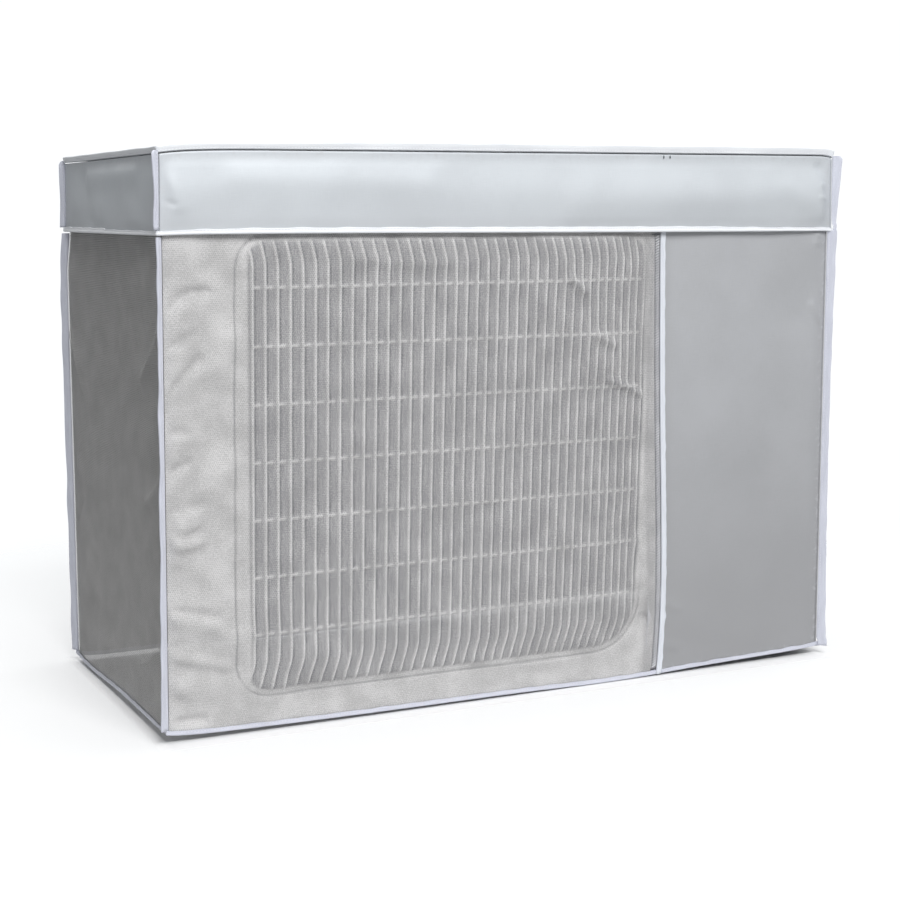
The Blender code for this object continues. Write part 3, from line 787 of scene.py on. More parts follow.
class Edge(Enum):
    """The four edges of a panel, seen from outside."""

    LEFT = "left"
    RIGHT = "right"
    TOP = "top"
    BOTTOM = "bottom"


@dataclass(frozen=True)
class Gathers:
    """Small puckers that a line of stitches draws in along an edge."""

    edge: Edge
    seed: int
    height: float = 0.0007
    spacing: float = 0.014
    reach: float = 0.010

    def lift(self, away: Array, along: Array) -> Array:
        """An uneven wave along the edge, which grows from nothing at the edge and then dies out."""
        rise = smooth(away / (0.6 * self.reach))
        uneven = 0.35 + 0.65 * np.abs(wander(along, 9 * self.spacing, self.seed + 50))
        return self.height * uneven * wander(along, self.spacing, self.seed) * rise * np.exp(-away / self.reach)


@dataclass(frozen=True)
class GuardPress:
    """The shape that the net keeps from the round-cornered guard it is drawn over.

    A low plateau with a narrow groove round it, upright ribs that bend to the left at both ends, and
    a few level bars, all pressed softly.
    """

    middle: tuple[float, float] = (-0.090, -0.324)
    half: tuple[float, float] = (0.246, 0.241)
    corner: float = 0.034
    low_right_corner: float = 0.056
    rise: float = 0.0030
    slope: float = 0.010
    groove: tuple[float, float, float] = (0.0030, 0.0014, 0.0014)  # outward, width and depth
    rib_ends: tuple[float, float] = (-0.321, 0.156)
    rib_count: tuple[float, ...] = (24.283, 84.813, 47.479, 59.475)  # the ribs' number by powers of the place
    rib_level: float = -0.280
    rib_lean: tuple[float, float, float] = (0.005, 0.045, 1.7)  # at the left, how much more at the right, and its power
    rib_shift: tuple[float, float, float] = (0.0026, -0.0036, 3.0)  # the same for how far they stand to the right
    rib_height: float = 0.0020
    rib_shade: tuple[float, float] = (0.15, 0.30)  # a painted shadow line right of a rib, where the net also opens: its place in the pitch and its depth
    bottom_bend: float = 0.0085
    bottom_run: float = 0.040
    rib_sharpness: float = 5.0
    rib_bend: float = 0.0050
    rib_bend_run: float = 0.030
    bar_top: float = -0.135
    bar_pitch: float = 0.0608
    bar_width: float = 0.0015
    bar_height: float = 0.0012
    bar_middle: float = 0.30  # of the broken bars' pieces, in the ribs' pitch

    def outside(self, along: Array, up: Array) -> Array:
        """The distance outside the rounded outline, negative inside."""
        place = self.straight(along, up)
        low_right = smooth((place - self.middle[0]) / 0.1) * smooth((self.middle[1] - up) / 0.1)
        corner = self.corner + (self.low_right_corner - self.corner) * low_right
        beyond_s = np.abs(place - self.middle[0]) - self.half[0] + corner
        beyond_z = np.abs(up - self.middle[1]) - self.half[1] + corner
        far = np.hypot(np.maximum(beyond_s, 0.0), np.maximum(beyond_z, 0.0))
        return far + np.minimum(np.maximum(beyond_s, beyond_z), 0.0) - corner

    def straight(self, along: Array, up: Array) -> Array:
        """The place along that a point would have if the ribs stood upright at their numbers' places.

        The lean and the shift each go from their left value by a power of the part of the way to the right.
        """
        first, last = self.rib_ends
        part = np.clip((along - first) / (last - first), 0.0, 1.0)
        lean, shift = (start + more * part**power for start, more, power in (self.rib_lean, self.rib_shift))
        return along - shift - lean * (up - self.rib_level)

    def phase(self, along: Array, up: Array) -> Array:
        """The ribs' running number, a cubic of the place along, bent to the left at the top and the bottom."""
        top, bottom = self.middle[1] + self.half[1], self.middle[1] - self.half[1]
        bend = self.rib_bend * (1 - smooth((top - up) / self.rib_bend_run))
        bend = bend + self.bottom_bend * (1 - smooth((up - bottom) / self.bottom_run))
        place = self.straight(along, up) + bend
        return sum(factor * place**power for power, factor in enumerate(self.rib_count))

    def ribs(self, along: Array, up: Array, aside: float = 0.0) -> Array:
        """The upright ribs from 0 to 1, exp(k(cos - 1)) of their phase less a part aside."""
        rib = np.exp(self.rib_sharpness * (np.cos(TURN * (self.phase(along, up) - aside)) - 1))
        return rib * self.within(along) * smooth((-self.outside(along, up) - 0.001) / 0.005)

    def bars(self, along: Array, up: Array) -> Array:
        """The level bars from 0 to 1, a soft bump at each multiple of their pitch, broken left of each rib."""
        phase = (up - self.bar_top) / self.bar_pitch
        level = (phase - np.round(phase)) * self.bar_pitch
        piece = smooth((np.cos(TURN * (self.phase(along, up) - self.bar_middle)) + 0.45) / 0.5)
        inner = self.within(along) * smooth((-self.outside(along, up) - 0.008) / 0.008)
        return bell(level, self.bar_width) * (0.25 + 0.75 * piece) * inner

    def within(self, along: Array) -> Array:
        """1 from the first rib to the last, and 0 beyond."""
        first, last = self.rib_ends
        return smooth((along - first + 0.004) / 0.004) * smooth((last + 0.006 - along) / 0.004)

    def groove_part(self, along: Array, up: Array) -> Array:
        """The narrow groove round the outline, from 0 to 1, faint on the right where the net is slack."""
        return bell(self.outside(along, up) - self.groove[0], self.groove[1]) * (1 - 0.8 * self.slack_right(along, up))

    def slack_right(self, along: Array, up: Array) -> Array:
        """1 down the right of the outline, where the net bridges its edge, and 0 elsewhere."""
        return smooth((along - 0.110) / 0.040) * smooth((up + 0.530) / 0.060)

    def lift(self, along: Array, up: Array) -> Array:
        """The plateau less its groove, plus ribs and bars that fade towards the outline."""
        plateau = self.rise * smooth(-self.outside(along, up) / self.slope) * (1 - 0.7 * self.slack_right(along, up))
        pressed = self.rib_height * self.ribs(along, up) + self.bar_height * self.bars(along, up)
        return plateau - self.groove[2] * self.groove_part(along, up) + pressed

    def drawn(self, along: Array, up: Array) -> Array:
        """How open the net is drawn: 1 between the ribs, less in the groove, 0 outside and below 0 on the ribs. The
        same mark paints the net's shade between the ribs, in the groove and along a shadow line right of each rib,
        darkens it beside the zip, and paints a highlight on the crests below 0.
        """
        inner = smooth((-self.outside(along, up) - 0.001) / 0.005) * self.within(along)
        crests = np.maximum(self.ribs(along, up), 0.8 * self.bars(along, up))
        # A painted shadow line right of each rib, which also opens the net there.
        inner = inner * (1 - self.rib_shade[1] + 2 * self.rib_shade[1] * self.ribs(along, up, self.rib_shade[0]))
        beside_zip = smooth((along - self.rib_ends[1] + 0.006) / 0.008)
        pressed = inner * (1 - 1.25 * crests) * (1 - beside_zip)
        return pressed + 0.45 * beside_zip + 0.7 * self.groove_part(along, up)


@dataclass(frozen=True)
class Panel:
    """One cut of cloth on a side: a thin sheet with soft folds, creases and the puckers of its seams."""

    name: str
    node: str
    side: Side
    ends: tuple[float, float]
    heights: tuple[float, float]
    out: float
    folds: tuple[Fold, ...]
    finish: Finish
    slot: str
    gathers: tuple[Gathers, ...] = ()
    press: GuardPress | None = None
    steps: tuple[float, float, float] = (0.0025, 0.004, 0.004)  # along near a seam, along, and up
    near: float = 0.020
    fade: float = 0.022
    ripple: float = 0.0003
    ripple_size: float = 0.060
    thickness: float = 0.0010
    seed: int = 0
    on_band: bool = False
    crease_gain: float = 1.0
    crease_width: float = 0.009  # folds narrower than this are creases

    def relief(self, along: Array, up: Array, hung: Array) -> tuple[Array, Array]:
        """How far the cloth stands off its straight cut, and how far each point is from a sewn edge.

        Folds and ripples die out towards the edges as a smooth step, and the gathers are added on top.

        Args:
            along: Places along the side.
            up: Heights on the cut.
            hung: The heights at which those places hang, where the folds are.
        """
        away = {
            Edge.LEFT: along - self.ends[0],
            Edge.RIGHT: self.ends[1] - along,
            Edge.TOP: self.heights[1] - up,
            Edge.BOTTOM: up - self.heights[0],
        }
        from_edge = np.minimum.reduce(list(away.values()))
        fade = np.prod([smooth(distance / self.fade) for distance in away.values()], axis=0)
        gains = [self.crease_gain if fold.width < self.crease_width else 1.0 for fold in self.folds]
        lift = fade * sum((gain * fold.lift(along, hung) for gain, fold in zip(gains, self.folds)), np.zeros_like(along))
        lift += fade * self.ripple * crumple(along, up, self.ripple_size, self.seed)
        if self.press:
            lift += self.press.lift(along, hung)
        for row in self.gathers:
            level = up if row.edge in (Edge.LEFT, Edge.RIGHT) else along
            lift += row.lift(away[row.edge], level)
        return lift, from_edge

    def build(self) -> bpy.types.Object:
        """Makes the sheet, gives it its thickness and fits it to the cover."""
        along, up = np.meshgrid(paced_places(*self.ends, self.step_along), paced_places(*self.heights, self.step_up))
        hang = PATTERN.hang_band if self.on_band else PATTERN.hang
        hung = hang(PATTERN.on_side(self.side, along, self.out, up))[..., 2]
        lift, from_edge = self.relief(along, up, hung)
        marks = {EDGE_NAME: from_edge}
        if self.press:
            marks[DRAWN_NAME] = self.press.drawn(along, hung)
        points = hang(PATTERN.on_side(self.side, along, self.out + lift, up))
        piece = grid_piece(self.name, points, np.stack([along, up], -1), self.finish, marks=marks)
        if self.thickness:
            thicken(piece, self.thickness)
        return fit(piece, self.slot, self.node)

    def step_along(self, along: Array) -> Array:
        """The step along, finer near the seams and where the net is pressed to ribs."""
        fine, coarse, _ = self.steps
        near = bell(np.minimum(along - self.ends[0], self.ends[1] - along), self.near)
        if self.press:
            groove = bell(along - self.press.middle[0] + self.press.half[0] + self.press.groove[0], 0.006)
            return coarse - (coarse - fine) * np.maximum.reduce([self.press.within(along), groove, 0.4 * near])
        return coarse - (coarse - fine) * near

    def step_up(self, up: Array) -> Array:
        """The step up, wider where the band hides the body."""
        hidden = 0.0 if self.on_band else smooth((up + 0.074) / 0.004)
        step = self.steps[2] * (1 + 2 * hidden)
        if self.press:
            hung = up - 0.007 * (up / self.heights[0]) ** 3
            phase = (hung - self.press.bar_top) / self.press.bar_pitch
            level = (phase - np.round(phase)) * self.press.bar_pitch
            foot = hung - self.press.middle[1] + self.press.half[1] + self.press.groove[0]
            fine = (1 - hidden) * np.maximum(bell(level, 0.005), bell(foot, 0.008))
            step = step * (1 - 0.55 * fine)
        return step

    @property
    def flat(self) -> tuple[float, float]:
        """The panel's cut size, its width and its height."""
        return self.ends[1] - self.ends[0], self.heights[1] - self.heights[0]


def thicken(piece: bpy.types.Object, thickness: float) -> None:
    """Gives a sheet its thickness, half to each side."""
    solid = piece.modifiers.new("Thickness", "SOLIDIFY")
    solid.thickness = thickness
    solid.offset = 0.0
    solid.use_even_offset = True


@dataclass(frozen=True)
class TopPanel:
    """The flat top, slack between its seams, with the shallow creases of a cloth that was packed."""

    step: float = 0.006
    thickness: float = 0.0010
    slack: float = 0.0007
    inset: float = 0.0004
    folds: tuple[Fold, ...] = (
        Fold((-0.38, 0.01), (0.37, -0.006), 0.006, 0.0009),
        Fold((-0.14, -0.18), (-0.132, 0.18), 0.006, 0.0008),
        Fold((0.15, -0.18), (0.142, 0.18), 0.006, 0.0008),
        Fold((-0.36, -0.15), (-0.24, -0.11), 0.020, 0.0010, 0.01),
        Fold((0.24, 0.12), (0.38, 0.16), 0.022, 0.0010, -0.01),
    )

    def build(self) -> bpy.types.Object:
        """Makes the top: height = the folds' lift plus slack ripples, faded out towards the seams."""
        half_x, half_y = PATTERN.width / 2 - self.inset, PATTERN.depth / 2 - self.inset
        x = np.linspace(-half_x, half_x, round(2 * half_x / self.step) + 1)
        y = np.linspace(-half_y, half_y, round(2 * half_y / self.step) + 1)
        x, y = np.meshgrid(x, y)
        from_edge = np.minimum(half_x - abs(x), half_y - abs(y))
        fade = smooth(from_edge / 0.03)
        lift = fade * sum((fold.lift(x, y) for fold in self.folds), np.zeros_like(x))
        lift += fade * self.slack * (0.6 + 0.5 * crumple(x, y, 0.090, 71))
        lift += 0.0004 * smooth(from_edge / 0.006) * np.exp(-from_edge / 0.012) * crumple(x, y, 0.016, 72)
        z = PATTERN.cloth / 2 + PATTERN.rise(x, y) + lift
        piece = grid_piece("top_cloth", np.stack([x, y, z], -1), np.stack([x, y], -1), TOP_CLOTH, marks={EDGE_NAME: from_edge})
        thicken(piece, self.thickness)
        return fit(piece, "silver_cloth", "top_panel")

    @property
    def flat(self) -> tuple[float, float]:
        """The top's cut size."""
        return PATTERN.width, PATTERN.depth


@dataclass(frozen=True)
class Outline:
    """Stations round the cover, counter-clockwise from above, starting at the front right corner.

    Each station is a place on the band's outer face and a way outward, longer at a corner so that what is
    carried round it meets in a mitre. The mitre may be cut short, which rounds the corner.
    """

    step: float = 0.004
    mitre: float = 0.82
    corner_runs: tuple[float, ...] = (0.0012, 0.003, 0.006)

    def side_places(self, side: Side) -> Array:
        """Places along a side from its first corner to just before its last."""
        reach = PATTERN.reach(side)
        inner = reach - self.corner_runs[-1]
        middle = np.linspace(-inner, inner, max(2, round(2 * inner / self.step) + 1))
        first = -reach + np.array((0.0, *self.corner_runs[:-1]))
        return np.concatenate([first, middle, -first[:0:-1]])

    def stations(self) -> tuple[Array, Array, Array, Array]:
        """The stations of the whole ring.

        Returns:
            Places as X and Y, ways outward as X and Y, distances round, and the distance from the nearest
            corner.
        """
        spots, ways, rounds, corners = [], [], [], []
        start = 0.0
        for side in (Side.RIGHT, Side.BACK, Side.LEFT, Side.FRONT):
            along_way, outward = (np.array(way) for way in side.value)
            along = self.side_places(side)
            spots.append(outward * PATTERN.half(side) + along_way * along[:, None])
            way = np.repeat(outward[None], len(along), axis=0)
            way[0] = (outward - along_way) * self.mitre
            ways.append(way)
            rounds.append(start + along + PATTERN.reach(side))
            corners.append(PATTERN.reach(side) - abs(along))
            start += 2 * PATTERN.reach(side)
        return np.concatenate(spots), np.concatenate(ways), np.concatenate(rounds), np.concatenate(corners)


@dataclass(frozen=True)
class FoldedTape:
    """Tape folded over an edge: an outer layer, a round fold and an inner layer, drawn in by its stitches."""

    depth: float = 0.0064
    thick: float = 0.0007
    stitch: float = 0.0046  # the stitch line's height over the fold
    pinch: float = 0.00040
    fold_points: int = 7

    def centre(self) -> Array:
        """The middle of the tape, from its outer rim down, round and up inside, as outward and height.

        The straight runs stand at the tape's distance from the cloth, less exp(-(h - stitch)^2) times the
        pinch, and the fold between them is half a circle.
        """
        radius = PATTERN.tape_out
        heights = np.linspace(self.depth, radius * 1.15, 6)
        out = radius - self.pinch * bell(heights - self.stitch, 0.0011)
        turn = np.linspace(0, np.pi, self.fold_points)[1:-1]
        fold = np.stack([radius * np.cos(turn), radius * (1 - np.sin(turn)) + self.thick / 2], -1)
        outer = np.stack([out, heights], -1)
        inner = np.stack([-out, heights], -1)[::-1]
        return np.concatenate([outer, fold, inner])

    def section(self) -> tuple[Array, Array]:
        """The closed outline of the tape and the distance along the tape for each of its points."""
        centre = self.centre()
        way = np.gradient(centre, axis=0)
        way /= np.linalg.norm(way, axis=1, keepdims=True)
        normal = np.stack([-way[:, 1], way[:, 0]], -1) * self.thick / 2
        run = np.concatenate([[0.0], np.cumsum(np.linalg.norm(np.diff(centre, axis=0), axis=1))])
        return np.concatenate([centre + normal, (centre - normal)[::-1]]), np.concatenate([run, run[::-1]])


@dataclass(frozen=True)
class Stitching:
    """Rows of small stitches: each is a lozenge of thread that dips into the cloth at both ends."""

    pitch: float = 0.0036
    length: float = 0.0026
    width: float = 0.0006
    height: float = 0.00035
    sink: float = 0.00025

    def unit(self) -> tuple[Array, list]:
        """One stitch: along, across and up for ten points, and its sixteen faces' corners."""
        half, near, side = self.length / 2, self.length / 4, self.width / 2
        points = [(-half, 0.0, -self.sink)]
        for along in (-near, near):
            points += [(along, side, 0.0), (along, 0.0, self.height), (along, -side, 0.0), (along, 0.0, -self.sink)]
        points.append((half, 0.0, -self.sink))
        faces = []
        for corner in range(4):
            after = (corner + 1) % 4
            faces += [[0, 1 + corner, 1 + after], [1 + corner, 5 + corner, 5 + after, 1 + after]]
            faces.append([5 + corner, 9, 5 + after])
        return np.array(points), faces

    def build(self, name: str, lines: Sequence[tuple[Array, Array]], finish: Finish = THREAD) -> bpy.types.Object:
        """Sews rows of stitches.

        Args:
            name: The piece's name.
            lines: For each row, the points it follows and the way outward at each.
            finish: The thread.

        Returns:
            One object with all the stitches.
        """
        unit, faces = self.unit()
        made = []
        for path, outward in lines:
            run = np.concatenate([[0.0], np.cumsum(np.linalg.norm(np.diff(path, axis=0), axis=1))])
            middles = np.arange(self.pitch, run[-1] - self.pitch / 2, self.pitch)
            spot = np.stack([np.interp(middles, run, path[:, axis]) for axis in range(3)], -1)
            ahead = np.stack([np.interp(middles + self.length / 2, run, path[:, axis]) for axis in range(3)], -1)
            behind = np.stack([np.interp(middles - self.length / 2, run, path[:, axis]) for axis in range(3)], -1)
            way = ahead - behind
            way /= np.linalg.norm(way, axis=1, keepdims=True)
            rise = np.stack([np.interp(middles, run, outward[:, axis]) for axis in range(3)], -1)
            rise -= (rise * way).sum(1, keepdims=True) * way
            rise /= np.linalg.norm(rise, axis=1, keepdims=True)
            across = np.cross(rise, way)
            axes = np.stack([way, across, rise], axis=1)
            made.append(spot[:, None] + np.einsum("ui,nij->nuj", unit, axes))
        points = np.concatenate(made)
        lists = [[number + shift for number in face] for shift in range(0, points[..., 0].size, len(unit)) for face in faces]
        piece = mesh_piece(name, points, lists, finish)
        return fit(piece, "tape")


STITCHING = Stitching()


@dataclass(frozen=True)
class EdgeBinding:
    """A tape folded over the band's lower edge or the hem, all round or from one place of the front on."""

    name: str
    node: str
    drop: float
    out: float
    on_band: bool
    seed: int
    open_between: tuple[float, float] | None = None  # where the front is left open, at the zip
    left_bulge: float = 0.0018  # how far the tape stands out where it turns round a left corner
    narrow_ends: float = 0.0  # how much narrower the tape lies at both ends of the front
    tape: FoldedTape = FoldedTape()

    def stations(self) -> tuple[Array, Array, Array, Array]:
        """The outline's stations, cut and reordered where the hem is open."""
        spots, ways, rounds, corners = Outline().stations()
        if self.open_between is None:
            return spots, ways, rounds, corners
        left, right = self.open_between
        front = (spots[:, 1] < 0) & (np.abs(spots[:, 1] + PATTERN.depth / 2) < 1e-6)
        after = front & (spots[:, 0] > right + 0.001)
        before = front & (spots[:, 0] < left - 0.001)
        rest = ~(front & (np.abs(ways[:, 0]) < 1e-6))
        total = rounds[-1]
        front_line = -PATTERN.depth / 2
        start = rounds[after & ~rest].min() - (spots[after & ~rest, 0].min() - right)
        stop = rounds[before & ~rest].max() + (left - spots[before & ~rest, 0].max())
        parts = [
            (np.array([[right, front_line]]), np.array([[0.0, -1.0]]), np.array([start]), np.array([1.0])),
            tuple(values[after & ~rest] for values in (spots, ways, rounds, corners)),
            tuple(values[rest] for values in (spots, ways, rounds + total, corners)),
            tuple(values[before & ~rest] for values in (spots, ways, rounds + total, corners)),
            (np.array([[left, front_line]]), np.array([[0.0, -1.0]]), np.array([stop + total]), np.array([1.0])),
        ]
        return tuple(np.concatenate(values) for values in zip(*parts))

    def build(self) -> tuple[bpy.types.Object, tuple[Array, Array]]:
        """Carries the folded tape round.

        Each point is the station's place plus its outward way times the section's outward distance, with
        a slow uneven wave on both. Then it hangs as the cloth does.

        Returns:
            The piece, and the line and the outward ways of its stitches.
        """
        section, across = self.tape.section()
        spots, ways, rounds, corners = self.stations()
        ring = self.open_between is None
        slack = 0.00018 * wander(rounds, 0.030, self.seed)
        deeper = 0.00030 * wander(rounds, 0.042, self.seed + 1)
        bulge = self.left_bulge * bell(corners, 0.0045) * (spots[:, 0] < 0)
        out, height = section[:, 0], section[:, 1]
        outer = smooth((out + 0.0004) / 0.0008)
        reach = self.out + out + (slack + bulge)[:, None] * outer
        across_front = (spots[:, 1] < 0) * (1 - smooth((PATTERN.width / 2 - abs(spots[:, 0] + 0.04)) / 0.18))
        grown = height * (1 + deeper / self.tape.depth - self.narrow_ends * across_front)[:, None]
        flat = spots[:, None] + ways[:, None] * reach[..., None]
        points = np.concatenate([flat, (grown - self.drop)[..., None]], -1)
        hang = PATTERN.hang_band if self.on_band else PATTERN.hang
        points = hang(points)
        row_across = np.append(across, across[0])
        row_rounds = np.append(rounds, rounds[-1] + 0.004) if ring else rounds
        cut = np.stack(np.meshgrid(row_rounds, row_across, indexing="ij"), -1)
        piece = grid_piece(self.name, points, cut, TAPE if self.on_band else SEAM_TAPE, ring=ring, tube=True)
        line = self.stitch_line(spots, ways, slack + bulge, hang)
        return fit(piece, "tape", self.node), line

    def stitch_line(self, spots: Array, ways: Array, lift: Array, hang: Callable) -> tuple[Array, Array]:
        """The line that the stitches follow on the outer layer, and the way outward along it."""
        face = PATTERN.tape_out - self.tape.pinch + self.tape.thick / 2
        flat = spots + ways * (self.out + face + lift)[:, None]
        path = hang(np.concatenate([flat, np.full((len(spots), 1), self.tape.stitch - self.drop)], -1))
        outward = np.concatenate([ways, np.zeros((len(ways), 1))], -1)
        return path, outward


@dataclass(frozen=True)
class BoundFin:
    """The section of a bound seam that stands out: tape folded round two raw edges, sewn near its legs' ends."""

    thick: float = 0.0026
    groove: float = 0.00032
    stitch_part: float = 0.30
    flat_points: int = 5
    round_points: int = 7

    def section(self) -> tuple[Array, Array]:
        """The closed outline, as parts of the length outward and distances aside.

        One side runs out, less a groove at the stitches, then half a circle turns round the fold and the
        other side runs back. The half circle is given apart, as its size doesn't follow the length.

        Returns:
            For each point the part of the length, and the further distance outward and aside.
        """
        part = np.linspace(0.0, 1.0, self.flat_points + 2)
        half = self.thick / 2 - self.groove * bell(part - self.stitch_part, 0.16)
        turn = np.linspace(np.pi / 2, -np.pi / 2, self.round_points)[1:-1]
        rounded = np.stack([np.cos(turn), np.sin(turn)], -1) * self.thick / 2
        parts = np.concatenate([part, np.ones(len(turn)), part[::-1]])
        aside = np.concatenate([half, rounded[:, 1], -half[::-1]])
        outward = np.concatenate([np.zeros(len(part)), rounded[:, 0], np.zeros(len(part))])
        return parts, np.stack([outward, aside], -1)


@dataclass(frozen=True)
class TopSeam:
    """The bound seam round the top, which stands outward and a little up, unevenly."""

    length: float = 0.0050
    more: tuple[float, float, float] = (0.0022, -0.35, 0.25)  # how much longer, from which X, over which run
    tilt: float = float(np.radians(77))
    tilt_swing: float = float(np.radians(2.5))
    fin: BoundFin = BoundFin()

    def build(self) -> tuple[bpy.types.Object, list[tuple[Array, Array]]]:
        """Carries the fin's section round the top edge at a slowly changing tilt.

        Returns:
            The piece and the lines of its stitches, on its two faces.
        """
        spots, ways, rounds, _ = Outline(mitre=0.55).stations()
        parts, offset = self.fin.section()
        tilt = self.tilt + self.tilt_swing * wander(rounds, 0.16, 21)
        length = self.length + self.more[0] * smooth((spots[:, 0] - self.more[1]) / self.more[2])
        length = length * (1 + 0.03 * wander(rounds, 0.09, 22))
        run = parts[None] * length[:, None] + offset[:, 0]
        aside = np.broadcast_to(offset[:, 1], run.shape)
        points = self.lay(spots, ways, tilt, run, aside)
        across = np.cumsum(np.hypot(*np.gradient(np.stack([parts * self.length + offset[:, 0], offset[:, 1]]), axis=1)))
        row_across = np.append(across, across[-1] + 0.002)
        cut = np.stack(np.meshgrid(np.append(rounds, rounds[-1] + 0.004), row_across, indexing="ij"), -1)
        piece = grid_piece("top_seam_tape", points, cut, TAPE, ring=True, tube=True)
        lines = []
        for face in (1, -1):
            run = (self.fin.stitch_part * length)[:, None]
            edge = np.full_like(run, face * (self.fin.thick / 2 - self.fin.groove))
            path = self.lay(spots, ways, tilt, run, edge)[:, 0]
            above = self.lay(spots, ways, tilt, run, edge * 2)[:, 0]
            lines.append((path, above - path))
        return fit(piece, "tape", "seam_top"), lines

    def lay(self, spots: Array, ways: Array, tilt: Array, run: Array, aside: Array) -> Array:
        """Points of the fin from their distances outward and aside at each station."""
        root = PATTERN.gap
        level = (run + root) * np.cos(tilt)[:, None] - aside * np.sin(tilt)[:, None]
        rise = (run + root) * np.sin(tilt)[:, None] + aside * np.cos(tilt)[:, None]
        flat = spots[:, None] + ways[:, None] * level[..., None]
        height = PATTERN.cloth * 0.6 + PATTERN.rise(*spots.T)[:, None] + rise
        return np.concatenate([flat, height[..., None]], -1)


@dataclass(frozen=True)
class Corner:
    """A corner, with how far its seams stand out at the top, the middle and the bottom of band and body."""

    name: str
    side_x: int
    side_y: int
    band: tuple[float, float, float]
    body: tuple[float, float, float]
    over: bool
    seed: int


CORNERS = (
    Corner("front_left", -1, -1, (0.0100, 0.0082, 0.0065), (0.0075, 0.0085, 0.0120), False, 31),
    Corner("front_right", 1, -1, (0.0130, 0.0085, 0.0036), (0.0118, 0.0085, 0.0115), True, 35),
    Corner("back_right", 1, 1, (0.0100, 0.0088, 0.0075), (0.0090, 0.0085, 0.0080), True, 39),
    Corner("back_left", -1, 1, (0.0075, 0.0070, 0.0065), (0.0095, 0.0090, 0.0085), False, 43),
)


@dataclass(frozen=True)
class CornerSeam:
    """A bound seam down one corner of the band or the body, standing out along the diagonal."""

    corner: Corner
    on_band: bool
    step: float = 0.0035
    round: float = 0.0060  # of the band's seam, where it turns in to the top
    fin: BoundFin = BoundFin()

    def build(self) -> tuple[bpy.types.Object, list[tuple[Array, Array]]]:
        """Carries the fin's section down the corner.

        The length follows the parabola through its top, middle and bottom values, the fin leans to one
        side in a slow wave, and at the top of the band it narrows to a round.

        Returns:
            The piece and the lines of its stitches.
        """
        pattern = PATTERN
        face = 0.0 if self.on_band else pattern.body_face
        top = 0.0030 if self.on_band else -pattern.band_drop - 0.0006
        bottom = -pattern.band_drop if self.on_band else -pattern.height
        if not self.corner.over:
            bottom += pattern.tape_fold - 0.0006
        turn = np.linspace(0, np.pi / 2, 6)[:-1]
        rounded = top - self.round * (1 - np.cos(turn))
        below = top - self.round
        levels = np.concatenate([rounded, np.linspace(below, bottom, round((below - bottom) / self.step) + 1)])
        down = (top - levels) / (top - bottom)
        first, middle, last = self.corner.band if self.on_band else self.corner.body
        length = first * (1 - down) * (1 - 2 * down) + 4 * middle * down * (1 - down) + last * down * (2 * down - 1)
        length -= self.fin.thick / 2
        seed = self.corner.seed + (0 if self.on_band else 2)
        length *= 1 + 0.045 * wander(levels, 0.050, seed)
        if self.on_band:
            beside = np.clip((levels - below) / self.round, 0.0, 1.0)
            length -= self.round * (1 - np.sqrt(1 - 0.98 * beside**2))
        root = np.full_like(levels, pattern.gap)
        if self.corner.over:
            cover = np.sqrt(2) * (pattern.tape_out + pattern.tape / 2 - pattern.cloth / 2) + pattern.gap
            root += (cover - pattern.gap) * smooth((bottom + 0.012 - levels) / 0.006)
        parts, offset = self.fin.section()
        run = root[:, None] + parts * length[:, None] + offset[:, 0]
        lean = 0.00055 * wander(levels, 0.070, seed + 1)
        aside = offset[:, 1] + lean[:, None] * parts
        points = self.lay(face, levels, run, aside)
        row_across = np.append(np.linspace(0, 0.018, len(parts)), 0.020)
        cut = np.stack(np.meshgrid(levels, row_across, indexing="ij"), -1)
        place = "band" if self.on_band else "body"
        name = f"corner_tape_{place}_{self.corner.name}"
        piece = grid_piece(name, points, cut, SEAM_TAPE, tube=True)
        lines = []
        for way in (1, -1):
            along = (root + self.fin.stitch_part * length)[:, None]
            edge = np.full_like(along, way * (self.fin.thick / 2 - self.fin.groove))
            path = self.lay(face, levels, along, edge)[:, 0]
            lines.append((path, self.lay(face, levels, along, 2 * edge)[:, 0] - path))
        return fit(piece, "tape", f"seam_{place}_{self.corner.name}"), lines

    def lay(self, face: float, levels: Array, run: Array, aside: Array) -> Array:
        """Points from their distances along the diagonal and aside of it, then hung."""
        pattern = PATTERN
        diagonal = np.array([self.corner.side_x, self.corner.side_y]) / np.sqrt(2)
        across = np.array([-diagonal[1], diagonal[0]])
        edge = np.array([self.corner.side_x * (pattern.width / 2 + face), self.corner.side_y * (pattern.depth / 2 + face)])
        flat = edge + diagonal * run[..., None] + across * aside[..., None]
        up = np.broadcast_to(levels[:, None], run.shape)
        points = np.concatenate([flat, up[..., None]], -1)
        return pattern.hang_band(points) if self.on_band else pattern.hang(points)


